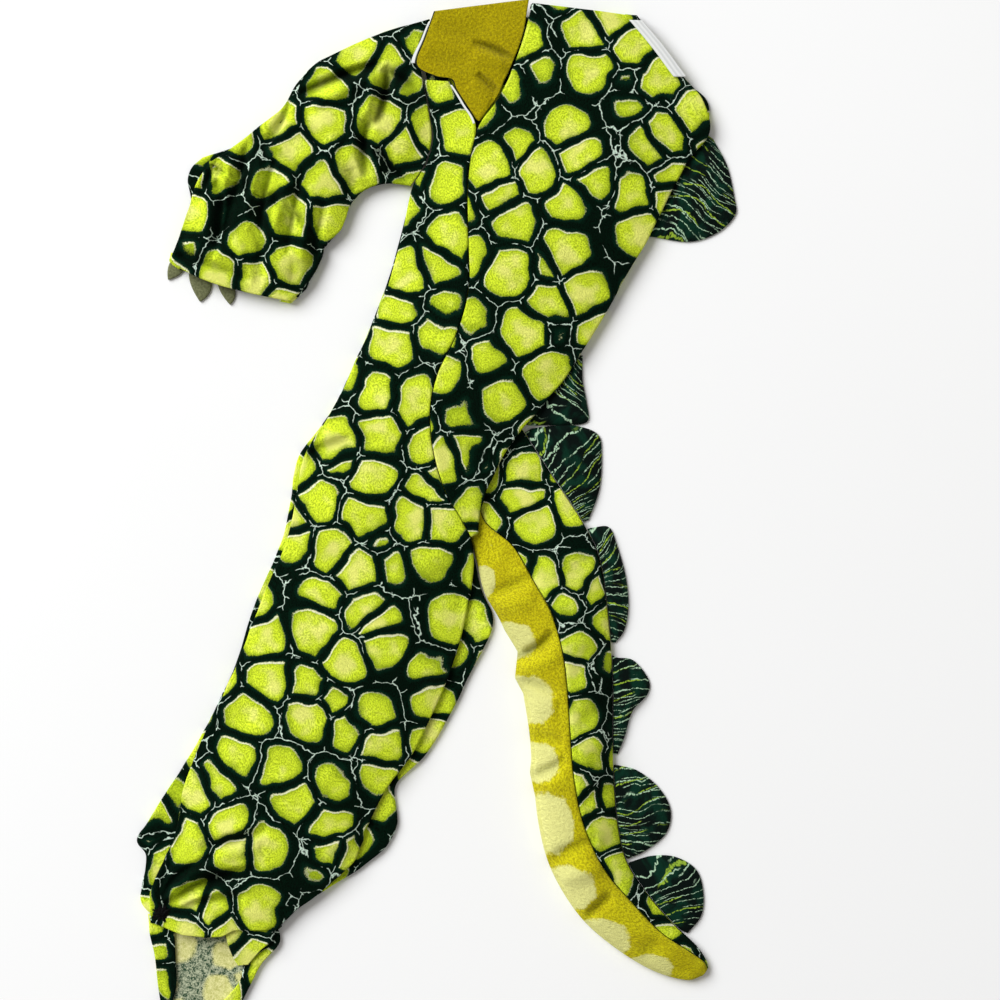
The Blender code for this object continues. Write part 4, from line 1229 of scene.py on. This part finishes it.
leftStray = [  # how far the belly's left side strays to the right: down, and how far
    (560, 0), (600, 0), (632, 1), (652, 5.5), (664, 1), (678, -3), (694, 2.5),
    (712, 1.5), (735, 0.5), (760, 0), (773, -2.5), (798, 0.5), (850, 0),
]
palePatches = [  # middle, half length along and half width across, all on the belly's left side
    (484, 582, 16, 11),
    (508, 641, 19, 27),
    (526, 700, 24, 28),
    (536, 762, 20, 23),
    (548, 824, 31, 25),
    (568, 888, 23, 27),
    (602, 940, 22, 27),
    (650, 968, 14, 22),
]


def tailSection(row):
    section = smoothRows(tailTable, row)[0]
    left, seam, right = section[0:2], section[2:4], section[4:6]
    left = left + [np.interp(left[1], *zip(*leftStray)), 0]
    belly, side = np.linalg.norm(seam - left), np.linalg.norm(right - seam)
    whole = belly + side
    roll = min(tail["roll"], tail["rollShares"][0] * section[6], tail["rollShares"][1] * belly)

    def spot(s):
        a = left + np.outer(s / belly, seam - left)
        b = seam + np.outer((s - belly) / side, right - seam)
        return np.where((s < belly)[:, None], a, b)

    def top(s):
        share = np.clip(s / whole, 0, 1)
        crest = np.sin(math.pi * share ** tail["crestShift"]) ** tail["crestPower"]
        base = 2 * roll + (tail["edge"] - 2 * roll) * share
        held = np.clip(np.minimum(s, whole - s) / tail["borderFade"], 0, 1)
        folds = rumpled(spot(s), tailCreases, tail["lumps"])
        return base + np.maximum(0, section[6] - base) * crest + held * folds

    return belly, whole, roll, spot, top


def tailPiece(look):
    kind, gap = look["kind"], tail["seamGap"] / 2

    def rowOf(row):
        belly, whole, roll, spot, top = tailSection(row)
        if kind == "belly":
            under = np.linspace(belly * tail["hidden"] - gap, roll, 6)
            arc = np.linspace(0, math.pi, 14)[1:-1]
            over = np.linspace(roll, belly - gap, look["columns"])
            s = np.concatenate([under, roll - roll * np.sin(arc), over])
            z = np.concatenate([under * 0, roll - roll * np.cos(arc), top(over)])
            used = np.concatenate([-under - math.pi * roll + 2 * roll, -(math.pi - arc) * roll + roll, over])
            flat = np.column_stack([used, np.full(len(s), row * tail["rowLength"])])
            onTop = np.arange(len(s)) >= len(under) + len(arc)
        elif kind == "near":
            s = np.linspace(belly + gap, whole - min(0.4, 0.1 * (whole - belly)), look["columns"])
            z, flat, onTop = top(s), spot(s), 1
        else:
            s = np.linspace(belly * tail["hidden"] + gap, whole, look["columns"])
            z = tail["farRise"] * np.clip((s - belly) / (whole - belly), 0, 1) ** 4
            flat, onTop = spot(s), 0
        dip = tail["seamDip"] * np.exp(-((s - belly) / tail["seamWidth"]) ** 2) * onTop
        return np.column_stack([spot(s), np.maximum(z - dip, 0)]), flat

    places, flats = stacked(np.linspace(0, len(tailTable) - 1, tail["rows"]), rowOf)
    marks = {"fold": foldShadeMask(places, tailCreases, tail["fullShadeDepth"])}
    if kind == "belly":
        marks["binding"] = marks["pale"] = np.zeros(places.shape[:2])
        marks["bright"] = np.full(places.shape[:2], tail["bright"])
        full, fall = tail["patchFade"]
        for x, y, long, wide in palePatches:
            off = np.abs((places[..., :2] - [x, y]) / [wide, long])
            reach = (off ** tail["patchPower"]).sum(-1) ** (1 / tail["patchPower"])
            marks["pale"] = np.maximum(marks["pale"], np.clip(full - fall * reach, 0, 1))
    layCloth(look, places, flats, marks, flip=kind != "far")


tailLook = {"held": "laid", "wall": 1.6}
tailPieces = [
    {
        **tailLook,
        "kind": "belly",
        "name": "tailBelly",
        "node": "tail_belly",
        "slot": "belly_fleece",
        "material": fleeceMaterial,
        "shift": (9.0, 0.0),
        "columns": 36,
    },
    {
        **printed,
        **tailLook,
        "kind": "near",
        "name": "tailNearSide",
        "node": "tail_near_side",
        "turn": 48,
        "shift": (9.6, 0.5),
        "zoom": 1.12,
        "columns": 44,
    },
    {
        **printed,
        **tailLook,
        "kind": "far",
        "name": "tailFarSide",
        "node": "tail_far_side",
        "turn": -30,
        "shift": (10.4, 0.2),
        "columns": 30,
    },
]


# The plates: rows of the seam that each is sewn into, and its rim
plateTable = {
    "plate_1": ("body", 4.08, 6.88, [
        (714, 138), (728, 165), (735, 196), (736, 214), (718, 232), (690, 241), (652, 236)]),
    "plate_2": ("body", 9.5, 11.42, [
        (583, 355), (583, 380), (587, 402), (588, 421), (570, 425), (548, 425), (532, 425.6)]),
    "plate_3": ("tail", 0.3, 1.96, [
        (531, 428.4), (552, 425.6), (577, 425.6), (598, 434), (602, 452), (600, 488), (589, 520)]),
    "plate_4": ("tail", 2.12, 5.0, [
        (591, 528), (609, 527), (617, 544), (626, 576), (629, 606), (625, 630), (616, 643)]),
    "plate_5": ("tail", 5.32, 7.46, [
        (617, 658), (634, 661), (649, 680), (648, 695), (633, 712), (625, 738), (618, 755)]),
    "plate_6": ("tail", 7.72, 9.93, [
        (618, 766), (637, 771), (658, 787), (671, 810), (667, 834), (646, 852), (628, 860)]),
    "plate_7": ("tail", 10.08, 12.3, [
        (631, 863), (652, 857), (676, 858), (697, 871), (704, 894), (702, 917), (688.5, 934.5)]),
}
plates = {
    "slot": "plate_plush",
    "fill": 0.35,
    "material": plateMaterial,
    "rows": 44,
    "columns": 34,
    "rim": 3.0,
    "thick": 8.0,
    "lip": 1.45,
    "lumpSize": 16,
    "lumpHeight": 0.45,
    "rise": (0.12, 0.88, 0.7),  # how the padding swells from the seam outwards
    "puffPower": 0.6,
    "rimPower": 14,  # how late it closes towards its rim
    "endPower": 10,
    "rimLift": 0.6,
    "rimDrop": 0.5,
    "curl": 0.8,  # how far the rim's underside comes up
    "curlPower": 6,
    "least": 2.0,  # the top stays over this, and the underside below the next
    "most": 1.9,
    "seamOut": {"body": -1.5, "tail": 0.7},  # how far past the seam's border it starts
}


def plateSeam(kind, row):
    if kind == "body":
        section, _ = bodySection(row)
        start, end = section[0:2], section[6:8]
    else:
        section = smoothRows(tailTable, row)[0]
        start, end = section[2:4], section[4:6]
    return end + (end - start) / np.linalg.norm(end - start) * plates["seamOut"][kind]


def plate(label, shape, look):
    kind, firstRow, lastRow, rim = shape
    seed = 200 + int(label[-1])
    look = {**look, "name": "plush" + label.capitalize().replace("_", ""), "node": label}

    def rowOf(v):
        edge = smoothRows(rim, v * (len(rim) - 1))[0]
        root = plateSeam(kind, firstRow + (lastRow - firstRow) * v)
        u = np.linspace(0, 1, look["columns"])
        xy = root + np.outer(u, edge - root)
        flatDown = np.full(len(u), root[1] * 0.5 + edge[1] * 0.5)
        first, more, power = look["rise"]
        rise = np.sin(math.pi * np.clip(first + more * u, 0, 1)) ** power
        rise[-1] = 0
        puff = (4 * v * (1 - v)) ** look["puffPower"] * rise if 0 < v < 1 else 0 * u
        outer, ends, curl = u ** look["rimPower"], abs(2 * v - 1) ** look["endPower"], u ** look["curlPower"]
        lip = look["lip"] * outer + look["lip"] * ends * (1 - outer)
        z = look["rim"] + look["rimLift"] + (look["thick"] - look["rim"]) * puff
        z = z + look["lumpHeight"] * uneven(xy, look["lumpSize"], seed) * puff - look["rimDrop"] * curl
        top = np.column_stack([xy, np.maximum(z - lip, look["least"])])
        bottom = np.column_stack([xy, np.minimum(look["curl"] * curl + lip, look["most"])])
        return top, bottom, np.column_stack([u * np.linalg.norm(edge - root), flatDown])

    tops, bottoms, cut = stacked(np.linspace(0, 1, look["rows"]), rowOf)
    closedCloth(look, tops, bottoms, cut=cut)


tape = {
    "slot": "tape_white",
    "material": tapeMaterial,
    "rows": 40,
    "lift": 0.5,  # over the cloth that it is sewn on
    "height": 1.5,
    "under": 0.3,
}


def strip(name, node, rows):
    # a flat ribbed tape sewn on along rows of two places and their heights
    look = {**tape, "name": name, "node": node}
    share = np.array([0, 0.04, 0.2, 0.5, 0.8, 0.96, 1])
    lip = np.array([0.5, 0.1, 0, 0, 0, 0.1, 0.5])

    def rowOf(row):
        start, end, z = row
        xy = np.array(start) + np.outer(share, np.subtract(end, start))
        base = z[0] + (z[1] - z[0]) * share
        top = np.column_stack([xy, base + look["height"] - lip])
        return top, np.column_stack([xy, base + look["under"] + lip * 0.5])

    tops, bottoms = stacked(rows, rowOf)
    along = np.concatenate([[0], np.cumsum(np.linalg.norm(np.diff(tops[:, 0, :2], axis=0), axis=1))])
    width = np.linalg.norm(tops[:, -1, :2] - tops[:, 0, :2], axis=1).mean()
    cut = np.stack(np.meshgrid(share * width, along), -1)  # so that the ribs run along it
    closedCloth(look, tops, bottoms, cut=cut)


borderTapes = {  # node, border, first and last row, and how far in from the border its two sides are
    "tapeFrontLower": ("front_tape_lower", "front", 2.15, 3.9, 0.5, 2.7),
    "tapeBackNeck": ("back_neck_tape", "back", 0.12, 1.97, -2.5, 11.0),
}


def borderTape(name, shape):
    node, border, firstRow, lastRow, outer, inner = shape
    rows = []
    for row in np.linspace(firstRow, lastRow, tape["rows"]):
        section, _ = bodySection(row)
        edge = section[2:4] if border == "front" else section[6:8]
        width = np.linalg.norm(edge - section[0:2])
        way = (edge - section[0:2]) / width
        spots = np.array([edge - way * inner, edge - way * outer])
        rows.append((*spots, bodyHeight(section, folded=False)(None, spots, width) + tape["lift"]))
    strip(name, node, rows)


upperTape = {
    "firstRow": 0.5,
    "lastRow": 1.95,
    "gap": 0.5,  # between it and the facing's border
    "wide": 1.6,  # at its first row
    "wider": 2.4,  # by how much, at its last row
    "under": 3.2,  # how far it lies below the facing's top
}


def facingTape(look):
    # the strip that shows beside the facing's left border
    rows = []
    for row in np.linspace(look["firstRow"], look["lastRow"], tape["rows"]):
        section = smoothRows(facingTable, row)[0]
        way = (section[2:4] - section[0:2]) / np.linalg.norm(section[2:4] - section[0:2])
        wide = look["wide"] + look["wider"] * (row - look["firstRow"]) / (look["lastRow"] - look["firstRow"])
        spots = np.array([section[0:2] - way * (look["gap"] + wide), section[0:2] - way * look["gap"]])
        rows.append((*spots, facingTop(spots[:, 1]) - look["under"]))
    strip("tapeFrontUpper", "front_tape_upper", rows)


# Flat pieces of the foot cover. Columns of their rows: left, right, height at each
footPiece = {
    "held": "laid",
    "rows": 50,
    "columns": 40,
    "endRound": 22,
    "borderFade": 6,
    "lipShare": 0.98,
    "lumpSize": 12,
    "seed": 33,
}
footPieces = [
    {
        **footPiece,
        "name": "footBack",
        "node": "foot_back",
        "slot": "wrong_side",
        "material": wrongSideMaterial,
        "turn": 15,
        "shift": (7.1, 0.4),
        "zoom": 1.25,
        "base": 0.0,
        "bump": 0.25,
        "table": [
            (149, 914.8, 279, 923, 2.6, 2.6),
            (150, 935, 276, 941, 2.6, 2.6),
            (154, 962, 262, 964, 2.6, 2.6),
            (157, 988, 247, 988, 2.6, 2.6),
            (162, 1011, 236, 1011, 2.6, 2.6),
        ],
    },
    {
        **printed,
        **footPiece,
        "name": "footNearLeft",
        "node": "foot_near_left",
        "turn": -12,
        "shift": (7.9, 0.1),
        "base": 2.9,
        "bump": 0.5,
        "table": [
            (147, 914.8, 170, 916.5, 5.4, 5.8),
            (148, 925, 173, 927, 5.8, 5.9),
            (149, 936, 174, 938, 6.4, 7.6),
            (154, 958, 175, 960, 6.4, 7.4),
            (157, 986, 175.5, 987, 6.2, 7.0),
            (161, 1012, 169, 1012, 5.8, 6.2),
        ],
    },
    {
        **printed,
        **footPiece,
        "name": "footNearRight",
        "node": "foot_near_right",
        "turn": 70,
        "shift": (8.6, 0.9),
        "base": 2.9,
        "bump": 0.6,
        "table": [
            (246, 926, 277, 926, 6.6, 6.4),
            (250, 944, 279, 944, 7.4, 6.6),
            (243, 966, 261, 965, 7.4, 6.6),
            (238, 984, 251, 984, 7.0, 6.4),
            (216, 1009, 237, 1012, 6.0, 5.8),
        ],
    },
    {
        **printed,
        **footPiece,
        "name": "ankleFlap",
        "node": "ankle_flap",
        "turn": 8,
        "shift": (0.2, 0.35),
        "base": 7.8,
        "bump": 0.6,
        "table": [
            (224, 926.2, 275, 929.4, 13.6, 12.5),
            (227, 942, 272, 941, 13.4, 12.5),
            (233, 958, 260, 951, 12.2, 11.8),
            (238, 966, 248, 965, 10.8, 10.8),
        ],
    },
]


def flatPiece(look):
    lastRow = len(look["table"]) - 1
    share = np.linspace(0, 1, look["columns"])

    def rowOf(row):
        section = smoothRows(look["table"], row)[0]
        across = section[2:4] - section[0:2]
        xy = section[0:2] + np.outer(share, across)
        high = section[4] + (section[5] - section[4]) * share
        half = (high - look["base"]) / 2
        # how far in from the nearest border, also at its ends
        s = np.minimum(share, 1 - share) * np.linalg.norm(across)
        s = np.minimum(s, min(row, lastRow - row) * look["endRound"] + 0.2)
        lip = half * (1 - np.sqrt(np.clip(1 - (1 - np.clip(s / half, 0, 1)) ** 2, 0, 1)))
        held = np.clip(s / look["borderFade"], 0, 1)
        high = high + look["bump"] * uneven(xy, look["lumpSize"], look["seed"]) * held
        lip = lip * look["lipShare"]
        return np.column_stack([xy, high - lip]), np.column_stack([xy, look["base"] + lip])

    closedCloth(look, *stacked(np.linspace(0, lastRow, look["rows"]), rowOf))


clawTable = {  # first and last share of the hem that each is sewn to, and its tip
    "claw_1": (0.01, 0.125, 167, 279),
    "claw_2": (0.15, 0.335, 199, 301),
    "claw_3": (0.385, 0.52, 229, 304),
}
claws = {
    **overSleeve,
    "slot": "claw_felt",
    "held": "laid",
    "material": feltMaterial,
    "rows": 26,
    "columns": 15,
    "thick": 2.4,
    "base": 0.4,
    "crown": 0.9,
    "lip": 0.8,
    "lipPower": 8,
    "taper": (2.2, 0.9),  # powers with which it narrows to its tip
    "bulge": 0.14,
    "hemRow": 3.858,
}


def claw(label, shape, look):
    look = {**look, "name": "felt" + label.capitalize().replace("_", ""), "node": label}
    section = smoothRows(handTable, look["hemRow"])[0]
    share = np.linspace(shape[0], shape[1], look["columns"])
    roots = section[0:2] + np.outer(share, section[2:4] - section[0:2]) + hemBend(share, look["hemRow"])
    middle, tip = roots[look["columns"] // 2], np.array(shape[2:4], float)
    side = np.abs(np.linspace(-1, 1, look["columns"]))

    def rowOf(v):
        centre = middle + (tip - middle) * v
        narrow = (1 - v ** look["taper"][0]) ** look["taper"][1] + look["bulge"] * math.sin(math.pi * v)
        xy = centre + (roots - middle) * narrow
        crown = look["crown"] * (1 - side ** 2) * (1 - v) ** 0.5
        lip = look["lip"] * side ** look["lipPower"]
        top = np.column_stack([xy, look["base"] + look["thick"] + crown - lip])
        return top, np.column_stack([xy, look["base"] + lip])

    closedCloth(look, *stacked(np.linspace(0, 1, look["rows"]), rowOf))


knot = {
    "name": "ankleKnot",
    "slot": "scale_plush",
    "fill": 0.8,
    "material": threadMaterial,
    "at": (162.5, 914.0, 12.6),
    "size": (7.4, 6.4, 4.2),
    "turns": 9,  # of the elastic wound round it
    "windHeight": 0.10,
    "windSlope": 3,
    "lumpHeight": 0.14,
    "lumpSize": 2.2,
    "threads": 40,
    "threadLength": 0.6,
    "threadWidth": 0.004,
    "threadSpread": (1, 1, 0.4),
    "threadLean": (0, 0, 0.2),
}


def ankleKnot(look):
    # the fuzzy knot of elastic that draws up the ankle
    bpy.ops.object.select_all(action="DESELECT")
    bpy.ops.mesh.primitive_ico_sphere_add(subdivisions=5, radius=1)
    piece = bpy.context.object
    piece.name = piece.data.name = look["name"]
    mesh = piece.data
    co = np.zeros(len(mesh.vertices) * 3, np.float32)
    mesh.vertices.foreach_get("co", co)
    co = co.reshape(-1, 3).astype(float)
    winding = np.arctan2(co[:, 1], co[:, 0]) * look["turns"] + look["windSlope"] * co[:, 2]
    lumps = uneven(co[:, :2] * 10 + co[:, 2:] * 6, look["lumpSize"], 77)
    swell = 1 + look["windHeight"] * np.sin(winding) + look["lumpHeight"] * lumps
    ends = np.random.RandomState(5).normal(size=(look["threads"], 3))
    ends = ends * look["threadSpread"] + look["threadLean"]
    ends /= np.linalg.norm(ends, axis=1)[:, None]
    swell += look["threadLength"] * np.exp((co @ ends.T - 1) / look["threadWidth"]).max(1)
    co *= swell[:, None] * look["size"]
    co += look["at"]
    mesh.vertices.foreach_set("co", toPart(co).astype(np.float32).ravel())
    mesh.flip_normals()
    mesh.uv_layers[0].name = "cut"
    mesh.materials.append(look["material"])
    mesh.update()
    finishPiece(piece, look)


farBodyAndLeg(farHalf)
nearFrontLegPanel(frontPanel)
nearBackPanel(backPanel)
farSleeve(farArm)
nearSleeve(sleeve)
nearHandCover(handCover)
neckFacing(neck)
facingTape(upperTape)
for label, shape in borderTapes.items():
    borderTape(label, shape)
for look in tailPieces:
    tailPiece(look)
for label, shape in plateTable.items():
    plate(label, shape, plates)
for look in footPieces:
    flatPiece(look)
for label, shape in clawTable.items():
    claw(label, shape, claws)
ankleKnot(knot)
print("stage: all pieces made")

studio = {
    "cameraHeight": 3.0,  # metres over the board, straight above the photograph's middle
    "photoMiddle": (500.0, 500.0),
    "frameWidth": 1.0,  # metres that the picture shows across
    "frameHeight": 0.012,  # at this height over the board
    "sensor": 36,
    "floor": (0.935, 0.94, 0.95),
    "mottle": 0.985,  # how dark its darker patches are
    "floorSize": 30,
    "floorDrop": 0.0002,
    "skyStrength": 0.33,
    "skyColour": (1.0, 0.965, 0.915),
    "keyEnergy": 1190.0,
    "keyColour": (0.985, 0.995, 1.0),
    "keyAt": (-5.9, 4.4, 6.6),
    "keySize": 7.5,
}


def setFloor(look):
    bpy.ops.object.select_all(action="DESELECT")
    bpy.ops.mesh.primitive_plane_add(size=look["floorSize"], location=(0, 0, -look["floorDrop"]))
    floor = bpy.context.object
    floor.name = "floor"
    material, tree, shader = newMaterial("paleFloor", {"Roughness": 0.7, "Specular IOR Level": 0.2})
    place = addNode(tree, "TexCoord").outputs["Object"]
    darker = tuple(look["mottle"] * part for part in look["floor"])
    colour = blendColour(tree, noise(tree, place, 2.0, 2), darker, look["floor"])
    tree.links.new(colour, shader.inputs["Base Color"])
    floor.data.materials.append(material)


def setCamera(look):
    x, y, _ = toPart(np.array([*look["photoMiddle"], 0.0]))
    bpy.ops.object.camera_add(location=(x, y, look["cameraHeight"]), rotation=(0, 0, 0))
    camera = bpy.context.object
    camera.data.sensor_width = look["sensor"]
    camera.data.lens = look["sensor"] * (look["cameraHeight"] - look["frameHeight"]) / look["frameWidth"]
    camera.data.clip_end = 20
    bpy.context.scene.camera = camera


def setLight(look):
    bpy.ops.object.light_add(type="AREA", location=look["keyAt"])
    key = bpy.context.object
    key.data.shape = "DISK"
    key.data.size = look["keySize"]
    key.data.energy = look["keyEnergy"]
    key.data.color = look["keyColour"]
    x, y, z = look["keyAt"]
    key.rotation_euler = (math.atan2(math.hypot(x, y), z), 0, math.atan2(y, x) + math.pi / 2)
    world = bpy.context.scene.world or bpy.data.worlds.new("studio")
    bpy.context.scene.world = world
    world.use_nodes = True
    sky = world.node_tree.nodes["Background"]
    sky.inputs[0].default_value = (*look["skyColour"], 1)
    sky.inputs[1].default_value = look["skyStrength"]
    bpy.context.scene.view_settings.view_transform = "Standard"


setFloor(studio)
setCamera(studio)
setLight(studio)
print("stage: studio set")
